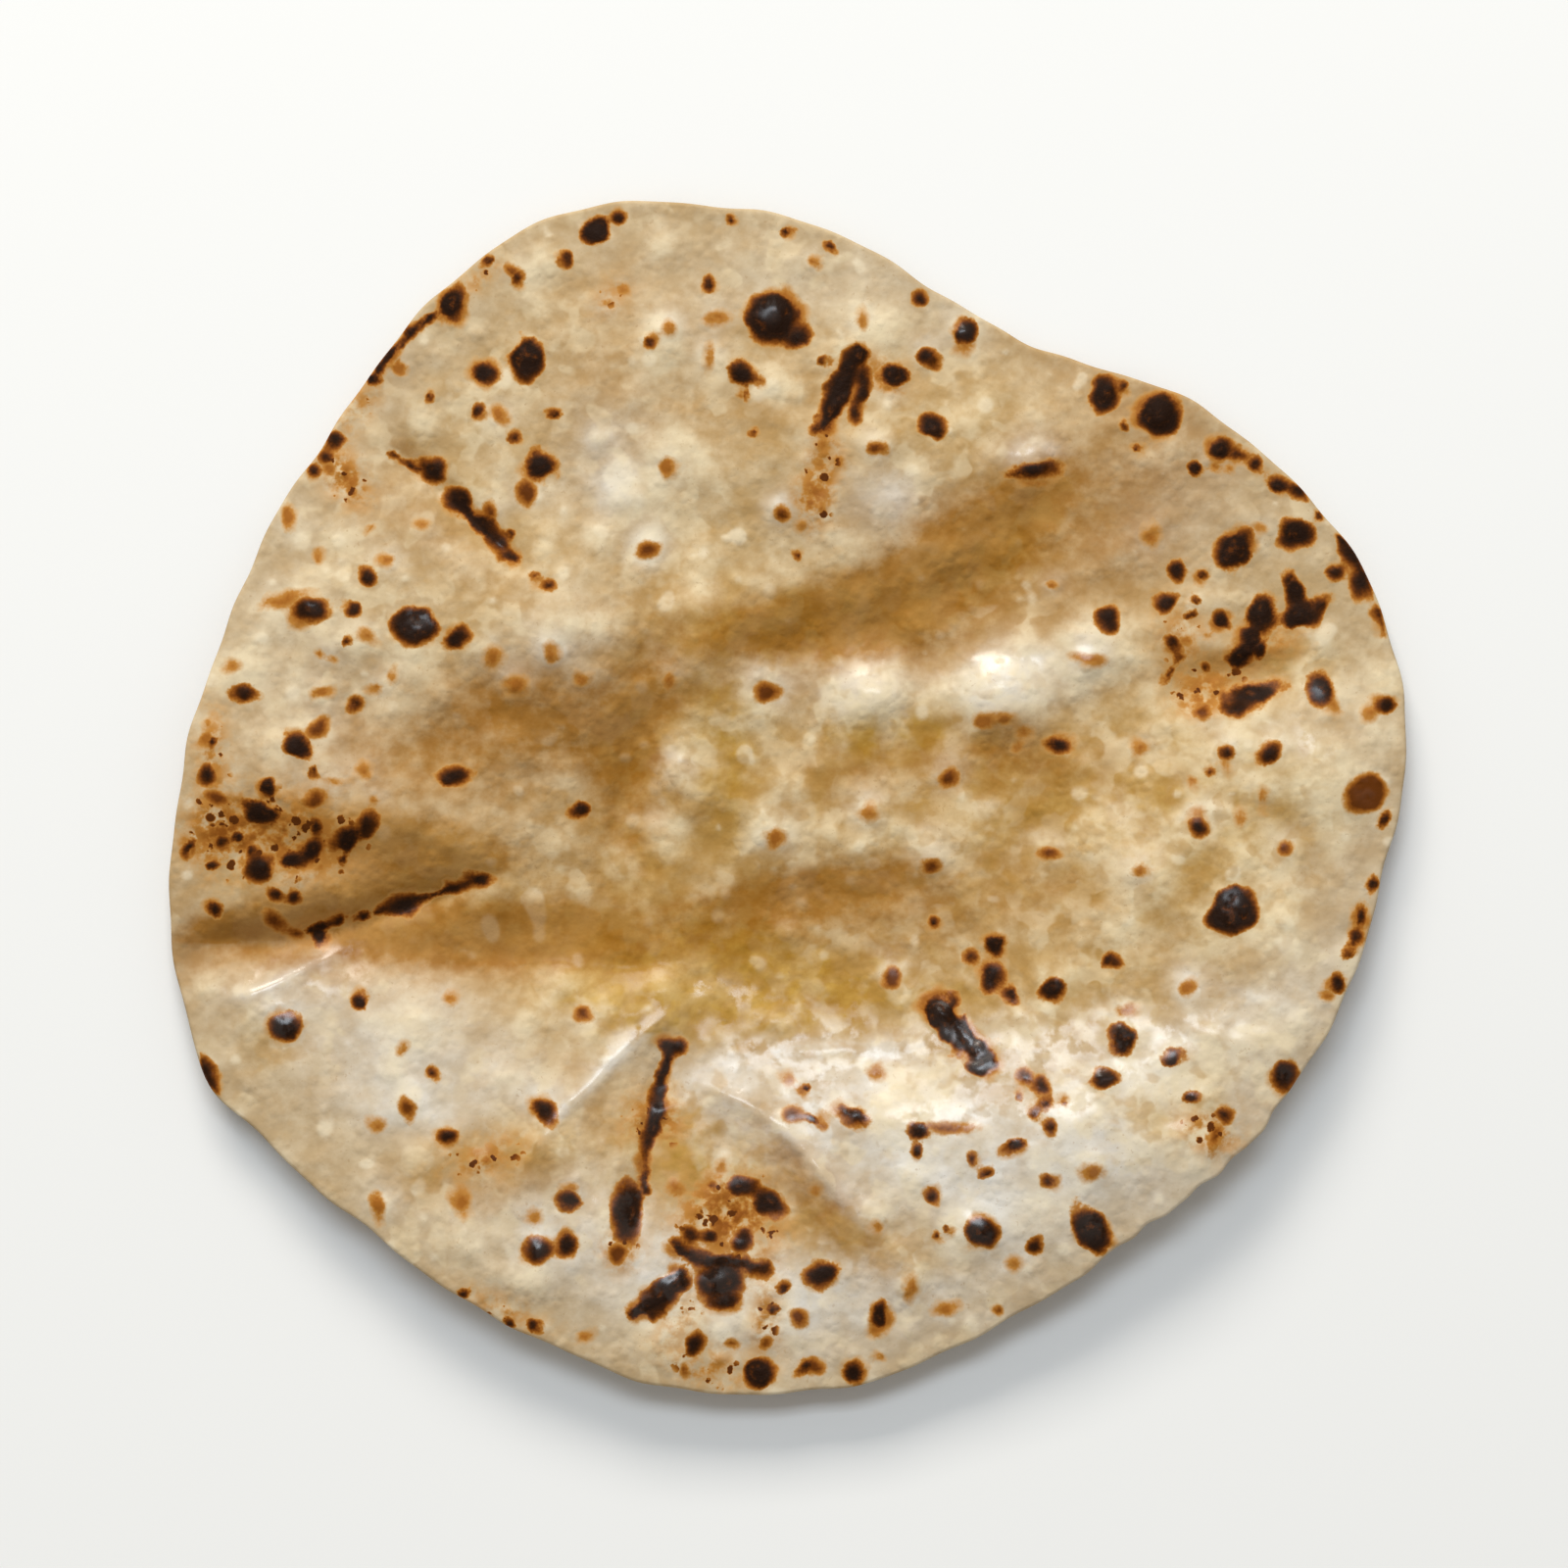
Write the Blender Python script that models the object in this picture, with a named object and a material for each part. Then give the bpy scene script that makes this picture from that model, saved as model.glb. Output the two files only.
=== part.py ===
"""Chapati flatbread: one thin, hand-rolled round of griddled wheat dough.

The bread is a single closed body.  It is built as a lower sheet that lies on the
table, pushed up into broad swells and pinched into creases, then given its
thickness upwards and a rounded rim.  All lengths below are millimetres; the
finished mesh is in metres with +Z up and the origin under the middle of the bread.
"""
import math

import bmesh
import bpy
import numpy as np

MM = 0.001

# ---- driving dimensions (mm) -------------------------------------------------
MEAN_RADIUS = 89.2        # rolled round before the lobes of the rim are added
CENTRE_THICKNESS = 1.9    # dough in the middle of the round
RIM_THICKNESS = 1.3       # dough rolled thinner towards the rim
THINNING_START = 0.72     # share of the radius where the dough starts to thin
LIE_HEIGHT = 0.6          # how high the sheet lies where nothing lifts it
FLOOR_SOFTNESS = 0.5      # how gently a sagging patch flattens on the table
RIM_LIFT = 1.0            # lift of the rim all the way round
LIFT_START = 0.20         # share of the radius where the rim starts to rise
LIFT_END = 0.97           # share of the radius where it has risen fully
GRID_CELLS = 44           # cells across the round
RIM_STEPS = 4             # facets across the rounded rim

# Lobes of the rim: bearing (degrees from +X), spread (degrees), outward amount.
RIM_LOBES = (
    (14.0, 14.0, 6.0),      # right-hand bulge
    (64.5, 13.0, -10.5),    # dent where the rim sags
    (114.0, 13.0, 7.0),     # far bulge
    (199.0, 16.0, 7.7),     # left-hand bulge
    (205.5, 3.2, 2.2),      # small corner on it
    (262.0, 14.0, 1.6),     # near bulge
    (305.0, 16.0, -5.2),    # flattened near-right side
)

# Curl of the rim: bearing, spread (degrees), extra lift of the rim.
RIM_CURL = (
    (322.0, 34.0, 7.4),     # near-right side stands up the most
    (235.0, 26.0, 6.4),     # near-left side
    (178.0, 13.0, 2.2),     # left-hand side
    (95.0, 12.0, 0.6),      # far side barely lifts
    (67.0, 10.0, -0.8),     # the dent lies down
)

# Swells of the sheet: x, y, half length, half width, bearing, height.
SWELLS = (
    (10.0, 50.0, 22.0, 9.0, 6.0, 3.4),      # long far hump
    (5.0, 32.5, 18.0, 6.0, 6.0, 1.4),       # its steep near side
    (-28.0, 60.0, 15.0, 12.0, 20.0, 1.7),
    (5.0, 74.0, 24.0, 8.0, 0.0, 1.3),
    (44.0, 60.0, 9.0, 8.0, 0.0, 0.8),
    (-52.0, 27.0, 19.0, 12.0, -6.0, 4.4),   # left-hand plateau
    (-33.0, 22.0, 9.0, 11.0, 10.0, 3.0),
    (-80.0, 12.0, 12.0, 13.0, 0.0, 1.0),
    (-64.0, 1.0, 20.0, 6.0, -10.0, 2.6),
    (-12.0, 25.0, 6.5, 8.0, 0.0, 2.8),
    (12.0, 16.5, 5.8, 4.8, 0.0, 1.7),       # two puffed humps near the middle
    (33.3, 16.5, 6.0, 4.4, -5.0, 1.9),
    (3.0, -5.5, 12.0, 5.5, 5.0, 0.9),
    (21.0, -5.0, 8.0, 6.0, -20.0, 1.2),
    (-15.0, 3.0, 6.0, 3.5, -25.0, 1.4),
    (50.0, 23.0, 9.0, 4.6, 8.0, 1.2),
    (62.0, 1.0, 11.0, 8.0, 10.0, 2.2),
    (79.0, 7.0, 10.0, 5.0, 0.0, 1.9),
    (54.0, -13.0, 13.0, 7.0, 15.0, 1.6),
    (74.0, -24.0, 8.0, 7.0, 40.0, 1.0),
    (-22.0, -30.0, 7.0, 3.0, 35.0, 1.0),
    (16.0, -58.0, 30.0, 13.0, 0.0, 2.2),    # near flank, which climbs from the pool
    (15.0, -48.5, 20.0, 5.0, -4.0, 1.2),
    (22.0, 8.0, 18.0, 6.0, 0.0, 0.7),       # low apron of the two puffed humps
    (48.0, -47.0, 12.0, 7.0, 15.0, 1.1),    # near right flank
)

# Hollows of the sheet: x, y, half length, half width, bearing, depth.
HOLLOWS = (
    (6.0, 23.8, 15.0, 3.8, 4.0, 0.75),      # valley in front of the far hump
    (19.0, 29.0, 8.0, 4.0, 30.0, 0.65),     # and its bend towards the dent
    (29.0, 32.5, 10.0, 5.0, 40.0, 1.2),
    (39.5, 43.5, 8.0, 4.8, 60.0, 0.9),
    (4.0, -17.0, 12.0, 3.0, 9.0, 0.9),
    (-2.0, -27.0, 16.0, 5.0, 0.0, 1.2),     # shallow pool in the middle
    (-23.5, 1.0, 12.0, 3.6, 82.0, 2.0),
    (-42.0, -23.0, 28.0, 3.4, 1.0, 2.3),    # long valley to the left-hand rim
    (-74.0, -22.0, 16.0, 3.4, 10.0, 1.6),
    (71.0, 19.0, 9.0, 2.6, 8.0, 1.5),
    (42.0, 68.0, 9.0, 6.0, -35.0, 0.8),
    (-10.0, -60.0, 9.0, 14.0, 15.0, 1.1),
)

# Folds: the points a fold runs through, half width, height (minus = pinched in).
FOLDS = (
    (((-17, -40), (-9, -44.5), (-2.5, -48.5), (4, -55), (9.5, -61.5), (15, -68)), 3.2, 0.9),
    (((-16, -47), (-9, -53), (-2, -60), (6, -68)), 3.2, -0.5),
    (((-10, -27.5), (-18, -32.5), (-24.5, -37.5), (-30, -43), (-34.5, -47.5), (-40, -56), (-46, -66)),
     3.2, 0.8),
    (((-86, -32), (-77, -27), (-68, -22)), 3.0, 0.8),
    (((-95, -22), (-77, -20.5), (-62, -16.5), (-47, -12), (-40, -8)), 2.6, -1.8),
    (((-66, 56), (-53, 48), (-43, 38), (-35, 31)), 3.0, -1.3),
    (((-17, -34), (-20, -46), (-22, -56), (-25, -71)), 2.6, -1.3),
)

# Blisters raised on the upper face only: x, y, radius, height.
BLISTERS = (
    (33.2, 17.0, 5.0, 0.8),
    (12.0, 17.0, 5.5, 0.6),
    (37.0, 51.5, 3.6, 0.7),
    (67.0, -16.5, 3.8, 0.8),
    (87.0, 1.0, 3.4, 0.5),
    (-56.0, 27.0, 3.6, 0.5),
)


def clear_scene():
    """Start from an empty scene."""
    for old in list(bpy.data.objects):
        bpy.data.objects.remove(old, do_unlink=True)


def ease(start, end, value):
    """0 before start, 1 after end, an S-shaped rise between them."""
    share = np.clip((value - start) / (end - start), 0.0, 1.0)
    return share * share * (3.0 - 2.0 * share)


def lobes(bearing, table):
    """Sum of bell-shaped lobes placed round the rim by their bearing."""
    total = np.zeros_like(bearing)
    for centre, spread, amount in table:
        away = np.mod(bearing - centre + 180.0, 360.0) - 180.0
        total += amount * np.exp(-0.5 * (away / spread) ** 2)
    return total


def rim_radius(bearing):
    """Distance from the middle to the rim, by bearing in degrees."""
    return MEAN_RADIUS + lobes(bearing, RIM_LOBES)


def bell(x, y, swell):
    """Elongated bell: 1 over its centre, falling away along and across its axis."""
    cx, cy, half_length, half_width, bearing = swell[:5]
    turn = math.radians(bearing)
    along = (x - cx) * math.cos(turn) + (y - cy) * math.sin(turn)
    across = (y - cy) * math.cos(turn) - (x - cx) * math.sin(turn)
    return np.exp(-0.5 * ((along / half_length) ** 2 + (across / half_width) ** 2))


def smooth_path(points, steps=9):
    """Points along a smooth curve that runs through the given ones."""
    knots = np.array(points, dtype=float)
    first = 2.0 * knots[0] - knots[1]
    last = 2.0 * knots[-1] - knots[-2]
    knots = np.vstack((first, knots, last))
    pieces = []
    for k in range(1, len(knots) - 2):
        a, b, c, d = knots[k - 1], knots[k], knots[k + 1], knots[k + 2]
        t = np.linspace(0.0, 1.0, steps + 1)[:-1, None]
        pieces.append(0.5 * (2.0 * b + (c - a) * t + (2.0 * a - 5.0 * b + 4.0 * c - d) * t ** 2
                             + (3.0 * b - a - 3.0 * c + d) * t ** 3))
    pieces.append(knots[-2][None, :])
    return np.vstack(pieces)


def fold_profile(x, y, points, half_width):
    """1 along a fold, easing away on both sides and fading out at its two ends."""
    path = smooth_path(points)
    lengths = np.hypot(*np.diff(path, axis=0).T)
    run = np.concatenate(([0.0], np.cumsum(lengths))) / lengths.sum()
    nearest = np.full(x.shape, 1.0e9)
    share = np.zeros(x.shape)
    for k in range(len(path) - 1):
        ax, ay = path[k]
        ux, uy = path[k + 1] - path[k]
        t = np.clip(((x - ax) * ux + (y - ay) * uy) / (ux * ux + uy * uy), 0.0, 1.0)
        away = np.hypot(x - ax - t * ux, y - ay - t * uy)
        closer = away < nearest
        nearest = np.where(closer, away, nearest)
        share = np.where(closer, run[k] + t * (run[k + 1] - run[k]), share)
    crest = np.exp(1.0 - np.sqrt(1.0 + (1.6 * nearest / half_width) ** 2))
    return crest * ease(0.0, 0.25, share) * ease(0.0, 0.3, 1.0 - share)


def lie_of_sheet(x, y):
    """Height of the underside above the table; sagging patches lie flat on it."""
    bearing = np.degrees(np.arctan2(y, x))
    reach = np.hypot(x, y) / rim_radius(bearing)
    curl = RIM_LIFT + lobes(bearing, RIM_CURL)
    height = LIE_HEIGHT + curl * ease(LIFT_START, LIFT_END, reach)
    for swell in SWELLS:
        height = height + swell[5] * bell(x, y, swell)
    for hollow in HOLLOWS:
        height = height - hollow[5] * bell(x, y, hollow)
    for points, half_width, rise in FOLDS:
        height = height + rise * fold_profile(x, y, points, half_width)
    knee = (height + FLOOR_SOFTNESS) ** 2 / (4.0 * FLOOR_SOFTNESS)
    flat = np.where(height > -FLOOR_SOFTNESS, knee, 0.0)
    return np.where(height > FLOOR_SOFTNESS, height, flat)


def dough_thickness(x, y):
    """Thickness of the dough: thinner towards the rim, thicker over a blister."""
    bearing = np.degrees(np.arctan2(y, x))
    reach = np.hypot(x, y) / rim_radius(bearing)
    thick = CENTRE_THICKNESS + (RIM_THICKNESS - CENTRE_THICKNESS) * ease(THINNING_START, 1.0, reach)
    for cx, cy, radius, rise in BLISTERS:
        away = np.hypot(x - cx, y - cy) / radius
        thick = thick + rise * np.exp(-0.5 * (1.4 * away) ** 2)
    return thick


def square_to_round(a, b):
    """Carry a square of side 2 onto a unit round, ring by ring, without a pole."""
    flat = np.abs(a) >= np.abs(b)
    ring = np.where(flat, a, b)
    safe = np.where(ring == 0.0, 1.0, ring)
    turn = np.where(flat, (math.pi / 4.0) * b / safe, math.pi / 2.0 - (math.pi / 4.0) * a / safe)
    return ring * np.cos(turn), ring * np.sin(turn)


def plan_position(a, b, inset):
    """Plan position of a grid point, with the rim drawn in by the inset."""
    u, v = square_to_round(a, b)
    bearing = np.degrees(np.arctan2(v, u))
    radius = rim_radius(bearing) - inset
    return u * radius, v * radius


def bread_material():
    """Pale griddled wheat dough."""
    mat = bpy.data.materials.new("griddled_dough")
    mat.use_nodes = True
    shader = mat.node_tree.nodes["Principled BSDF"]
    shader.inputs["Base Color"].default_value = (0.56, 0.41, 0.23, 1.0)
    shader.inputs["Roughness"].default_value = 0.55
    mat.diffuse_color = (0.56, 0.41, 0.23, 1.0)
    return mat


def lay_sheet(bm):
    """Lower sheet: a grid carried onto the round and laid over the swells."""
    bmesh.ops.create_grid(bm, x_segments=GRID_CELLS, y_segments=GRID_CELLS, size=1.0)
    bm.verts.ensure_lookup_table()
    square = np.array([v.co[:2] for v in bm.verts])
    x, y = plan_position(square[:, 0], square[:, 1], 0.5 * RIM_THICKNESS)
    z = lie_of_sheet(x, y)
    for vert, px, py, pz in zip(bm.verts, x, y, z):
        vert.co = (px, py, pz)


def raise_thickness(bm):
    """Extrude the sheet upwards by the thickness of the dough."""
    made = bmesh.ops.extrude_face_region(bm, geom=list(bm.faces))
    upper = [item for item in made["geom"] if isinstance(item, bmesh.types.BMVert)]
    place = np.array([v.co[:2] for v in upper])
    thick = dough_thickness(place[:, 0], place[:, 1])
    for vert, rise in zip(upper, thick):
        vert.co.z += rise
    raised = set(upper)
    return [e for e in bm.edges if (e.verts[0] in raised) != (e.verts[1] in raised)]


def round_rim(bm, walls):
    """Cut the wall of the rim into steps and push them out to a half round."""
    lower_of = {}
    for edge in walls:
        low, high = sorted(edge.verts, key=lambda v: v.co.z)
        lower_of[edge] = (low.co.copy(), high.co.copy())
    cut = bmesh.ops.subdivide_edges(bm, edges=walls, cuts=RIM_STEPS - 1, use_grid_fill=True)
    fresh = [item for item in cut["geom_inner"] if isinstance(item, bmesh.types.BMVert)]
    ends = {}
    for low, high in lower_of.values():
        ends[(round(low.x, 4), round(low.y, 4))] = (low.z, high.z)
    for vert in fresh:
        low_z, high_z = ends[(round(vert.co.x, 4), round(vert.co.y, 4))]
        share = (vert.co.z - low_z) / (high_z - low_z)
        turn = math.pi * (share - 0.5)
        out = 0.5 * RIM_THICKNESS * math.cos(turn)
        reach = math.hypot(vert.co.x, vert.co.y)
        middle = 0.5 * (low_z + high_z)
        vert.co.z = middle + 0.5 * (high_z - low_z) * math.sin(turn)
        vert.co.x *= (reach + out) / reach
        vert.co.y *= (reach + out) / reach


def centre_and_scale(bm):
    """Origin under the middle of the bounding box, then millimetres to metres."""
    place = np.array([v.co[:] for v in bm.verts])
    low = place.min(axis=0)
    high = place.max(axis=0)
    shift = (0.5 * (low[0] + high[0]), 0.5 * (low[1] + high[1]), low[2])
    for vert in bm.verts:
        vert.co.x = (vert.co.x - shift[0]) * MM
        vert.co.y = (vert.co.y - shift[1]) * MM
        vert.co.z = (vert.co.z - shift[2]) * MM
    return shift


def build_chapati():
    """One closed body of bread."""
    bm = bmesh.new()
    lay_sheet(bm)
    walls = raise_thickness(bm)
    round_rim(bm, walls)
    shift = centre_and_scale(bm)
    bmesh.ops.triangulate(bm, faces=list(bm.faces), quad_method="BEAUTY")
    bmesh.ops.recalc_face_normals(bm, faces=list(bm.faces))
    mesh = bpy.data.meshes.new("chapati")
    bm.to_mesh(mesh)
    bm.free()
    for face in mesh.polygons:
        face.use_smooth = True
    mesh.materials.append(bread_material())
    body = bpy.data.objects.new("chapati", mesh)
    bpy.context.scene.collection.objects.link(body)
    return body, shift


clear_scene()
bread, centre_shift = build_chapati()
print("chapati", "faces", len(bread.data.polygons), "size mm",
      [round(v / MM, 2) for v in bread.dimensions], "shift mm", [round(v, 3) for v in centre_shift])
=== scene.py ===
"""Chapati: a fine, griddled skin over the plain round of dough, with its studio."""
import math

import bpy
import numpy as np
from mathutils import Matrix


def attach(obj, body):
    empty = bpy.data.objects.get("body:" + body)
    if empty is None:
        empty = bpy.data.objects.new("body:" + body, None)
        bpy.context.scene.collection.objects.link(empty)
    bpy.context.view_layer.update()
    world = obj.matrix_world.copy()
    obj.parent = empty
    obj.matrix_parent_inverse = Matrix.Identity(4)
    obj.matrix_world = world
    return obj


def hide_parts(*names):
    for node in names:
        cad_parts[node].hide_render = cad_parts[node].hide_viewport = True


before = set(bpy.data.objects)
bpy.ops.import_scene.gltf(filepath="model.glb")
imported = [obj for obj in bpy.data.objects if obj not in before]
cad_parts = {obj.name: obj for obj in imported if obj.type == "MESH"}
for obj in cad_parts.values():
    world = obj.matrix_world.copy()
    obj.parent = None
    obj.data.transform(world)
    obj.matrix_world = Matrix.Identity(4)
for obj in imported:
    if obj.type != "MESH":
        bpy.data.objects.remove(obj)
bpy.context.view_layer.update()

MM = 0.001
SHIFT = (0.288, -0.658)      # millimetres, from the middle of the lobes to the frame's origin

# ---- the round of dough, millimetres ------------------------------------------
MEAN_RADIUS = 89.2
CENTRE_THICKNESS = 1.9
RIM_THICKNESS = 1.3
THINNING_START = 0.72
LIE_HEIGHT = 0.6
FLOOR_SOFTNESS = 0.5
RIM_LIFT = 1.0
LIFT_START = 0.20
LIFT_END = 0.97
EDGE_ROUND = 0.6             # how far the rounded edge stands out past the two faces
TOP_CELLS = 272              # grid cells across the upper face
UNDER_CELLS = TOP_CELLS // 2
RIM_RINGS = (60.0, 30.0, 0.0, -30.0, -60.0)   # steps round the edge, degrees
STEEP_STEP = 0.5             # half the stretch over which a slope is measured
UNDER_OFFSET = 200.0         # the under face takes its relief from another part of the field

# Lobes and curl of the rim: bearing, spread (degrees), amount.
RIM_LOBES = (
    (14, 14, 6),
    (64.5, 13, -10.5),
    (114, 13, 7),
    (199, 16, 7.7),
    (205.5, 3.2, 2.2),
    (262, 14, 1.6),
    (305, 16, -5.2),
)
RIM_CURL = (
    (322, 34, 7.4),
    (235, 26, 6.4),
    (178, 13, 2.2),
    (95, 12, 0.6),
    (67, 10, -0.8),
)
# Swells and hollows: x, y, half length, half width, bearing, height.
SWELLS = (
    (10, 50, 22, 9, 6, 3.4),
    (5, 32.5, 18, 6, 6, 1.4),
    (-28, 60, 15, 12, 20, 1.7),
    (5, 74, 24, 8, 0, 1.3),
    (44, 60, 9, 8, 0, 0.8),
    (-52, 27, 19, 12, -6, 4.4),
    (-33, 22, 9, 11, 10, 3),
    (-80, 12, 12, 13, 0, 1),
    (-64, 1, 20, 6, -10, 2.6),
    (-12, 25, 6.5, 8, 0, 2.8),
    (12, 16.5, 5.8, 4.8, 0, 1.7),
    (33.3, 16.5, 6, 4.4, -5, 1.9),
    (3, -5.5, 12, 5.5, 5, 0.9),
    (21, -5, 8, 6, -20, 1.2),
    (-15, 3, 6, 3.5, -25, 1.4),
    (50, 23, 9, 4.6, 8, 1.2),
    (62, 1, 11, 8, 10, 2.2),
    (79, 7, 10, 5, 0, 1.9),
    (54, -13, 13, 7, 15, 1.6),
    (74, -24, 8, 7, 40, 1),
    (-22, -30, 7, 3, 35, 1),
    (16, -58, 30, 13, 0, 2.2),
    (15, -48.5, 20, 5, -4, 1.2),
    (22, 8, 18, 6, 0, 0.7),
    (48, -47, 12, 7, 15, 1.1),
    (6, 23.8, 15, 3.8, 4, -0.75),
    (19, 29, 8, 4, 30, -0.65),
    (29, 32.5, 10, 5, 40, -1.2),
    (39.5, 43.5, 8, 4.8, 60, -0.9),
    (4, -17, 12, 3, 9, -0.9),
    (-2, -27, 16, 5, 0, -1.2),
    (-23.5, 1, 12, 3.6, 82, -2),
    (-42, -23, 28, 3.4, 1, -2.3),
    (-74, -22, 16, 3.4, 10, -1.6),
    (71, 19, 9, 2.6, 8, -1.5),
    (42, 68, 9, 6, -35, -0.8),
    (-10, -60, 9, 14, 15, -1.1),
)
# Folds: the points a fold runs through, half width, height.
FOLDS = (
    (((-17, -40), (-9, -44.5), (-2.5, -48.5), (4, -55), (9.5, -61.5), (15, -68)), 3.2, 0.9),
    (((-16, -47), (-9, -53), (-2, -60), (6, -68)), 3.2, -0.5),
    (((-10, -27.5), (-18, -32.5), (-24.5, -37.5), (-30, -43), (-34.5, -47.5), (-40, -56),
      (-46, -66)), 3.2, 0.8),
    (((-86, -32), (-77, -27), (-68, -22)), 3, 0.8),
    (((-95, -22), (-77, -20.5), (-62, -16.5), (-47, -12), (-40, -8)), 2.6, -1.8),
    (((-66, 56), (-53, 48), (-43, 38), (-35, 31)), 3, -1.3),
    (((-17, -34), (-20, -46), (-22, -56), (-25, -71)), 2.6, -1.3),
)
# Fine creases of the skin, in the same way.
CREASES = (
    (((-12, -29), (-18, -32.8), (-24.5, -37.5), (-30, -43), (-34.5, -47.5), (-40, -56),
      (-44, -63.5)), 1.2, 0.28),
    (((-17, -42), (-9.3, -45), (-2.7, -48.5), (3.8, -55), (9.2, -61.5), (14.6, -68)), 1.2, 0.45),
    (((-88, -31), (-80, -28.5), (-72, -24.5), (-64, -21.5)), 1.2, 0.42),
    (((-86, -36), (-79, -31.5), (-73, -30)), 1, 0.25),
    (((-4, -38.5), (6, -38), (16, -37.5), (24, -35.5)), 1.3, 0.3),
    (((-33, 60), (-31.5, 55), (-32, 50)), 1, -0.3),
    (((-83, -23), (-66, -19), (-52, -14.5), (-44, -10.5)), 1.2, -0.45),
    (((-61, 53), (-50, 44), (-40, 35), (-34, 29)), 1.2, -0.5),
    (((-28, 17), (-27, 8), (-28, -2), (-31, -12)), 2.2, 0.45),
    (((62, 46), (50, 38), (41, 30)), 1.6, 0.3),
    (((88, -35), (78, -38), (66, -36), (52, -30)), 1.8, 0.35),
    (((-52, -64), (-46, -70), (-37, -76)), 1.6, 0.3),
    (((20, -70), (32, -75), (45, -72)), 1.6, 0.28),
    (((-60, 22), (-48, 12), (-38, 6)), 2, 0.3),
    (((-12, 66), (-2, 58), (12, 55), (28, 58)), 2, 0.35),
    (((48, 8), (58, 12), (74, 14), (88, 12)), 1.5, 0.3),
    (((20, -68), (24, -58), (30, -50)), 1.4, 0.25),
)

# ---- what the griddle left on the upper face, millimetres ----------------------
# Round charred spots: x, y, diameter.
CHARRED_ROUND = (
    (-46.5, 65, 3.2), (-63.5, 64.5, 2.4), (-46, 82.5, 1.6), (-41.5, 79.5, 1.3), (-55, 61.5, 1.4),
    (-47.5, 59, 1.8), (-36, 59, 1.4), (-42, 55, 1.2), (-70.5, 52.5, 1.3), (-72.5, 50, 1.6),
    (-38.5, 34, 1.4), (-36.5, 32.5, 1.2), (-42, 40.7, 1.2), (-64, 34, 2.4), (-34, 82.5, 1.2),
    (-29.5, 87, 4.2), (-26, 89, 1.9), (-8.5, 88.8, 1.3), (-0.5, 86.5, 1.5), (6.3, 84.5, 1.4),
    (-12.5, 78.8, 1.6), (-21, 70.2, 1.3), (-6.8, 62, 1.2), (-5.6, 56, 1.1), (5, 66.8, 1.4),
    (19.8, 76.8, 1.4), (21.8, 56.7, 3.4), (1.3, 37, 1.2), (56.5, 59, 6.4), (51, 63, 1.4),
    (51, 57.2, 1.5), (53, 53.8, 1.6), (65.7, 53.5, 3.5), (62.2, 50.3, 2.4), (68.5, 52.8, 1.5),
    (71, 51.5, 2), (81, 43.5, 1.7), (62.5, 34.2, 1.4), (59, 35.2, 2.2), (-66.3, 29, 2),
    (-66.8, 24, 1.3), (-66, 14.5, 1.3), (-87.6, 9.2, 1.5), (-88.2, 3.7, 2.1), (-78.6, 2, 2.9),
    (-72.2, 4.4, 1.4), (-71.5, -4, 2), (-83.7, -5.5, 2.3), (-86.3, -6, 1.3), (-87.6, -9.5, 1.6),
    (-81.5, -8, 1.6), (-80.3, -10.5, 3.7), (-68, -8.8, 1.5), (-78, -14, 1.7), (-75.2, -14.4, 1.5),
    (-87.5, -16.3, 2.2), (-65.4, -30.4, 2.2), (-31.7, -1.3, 2.6), (22.3, -18.9, 1), (31.3, -21.7, 3),
    (27.6, -23.9, 1.1), (57.5, 30, 2.4), (61.7, 30.7, 1.4), (61.2, 28.3, 1.4), (65.6, 27.6, 2.7),
    (58.5, 24, 1.8), (63.5, 20.5, 0.9), (71.6, 23, 2.5), (61.8, -4, 2.4), (67, -16.5, 7),
    (84.7, -23, 1.3), (66.3, 7.5, 1.6), (63.8, 4.8, 0.9), (48.3, -24, 1.5), (49.6, -24.7, 0.8),
    (-54.3, -41.7, 1.1), (-51.8, -50.5, 2.1), (-14.5, -66, 1.6), (-12, -65.8, 2.1), (-7.2, -66.7, 2.4),
    (-3.7, -70.8, 1.7), (-14.6, -82.2, 2.5), (10, -86.7, 2.8), (21.5, -59.8, 1.5), (24, -64.8, 1.1),
    (22.3, -66, 0.9), (19.3, -53, 1.7), (2.5, -43.8, 1.5), (-1, -74, 1.5), (29.8, -56.2, 1.2),
    (35.6, -41.7, 1.1), (37.9, -43.1, 1.4), (38.6, -45.5, 1.1), (34.4, -44.6, 0.9), (36.6, -46.9, 0.8),
    (41.5, -45.7, 0.8), (39.2, -49.4, 1.3), (60.2, -44.8, 2), (65.8, -47.3, 1.5), (39.3, -57.3, 1.4),
    (37.4, -67.1, 1.6), (33.8, -29.4, 2), (-42, -78.8, 1.5), (-38.6, -79.5, 1.8), (27.5, -54, 1.1),
)
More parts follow.
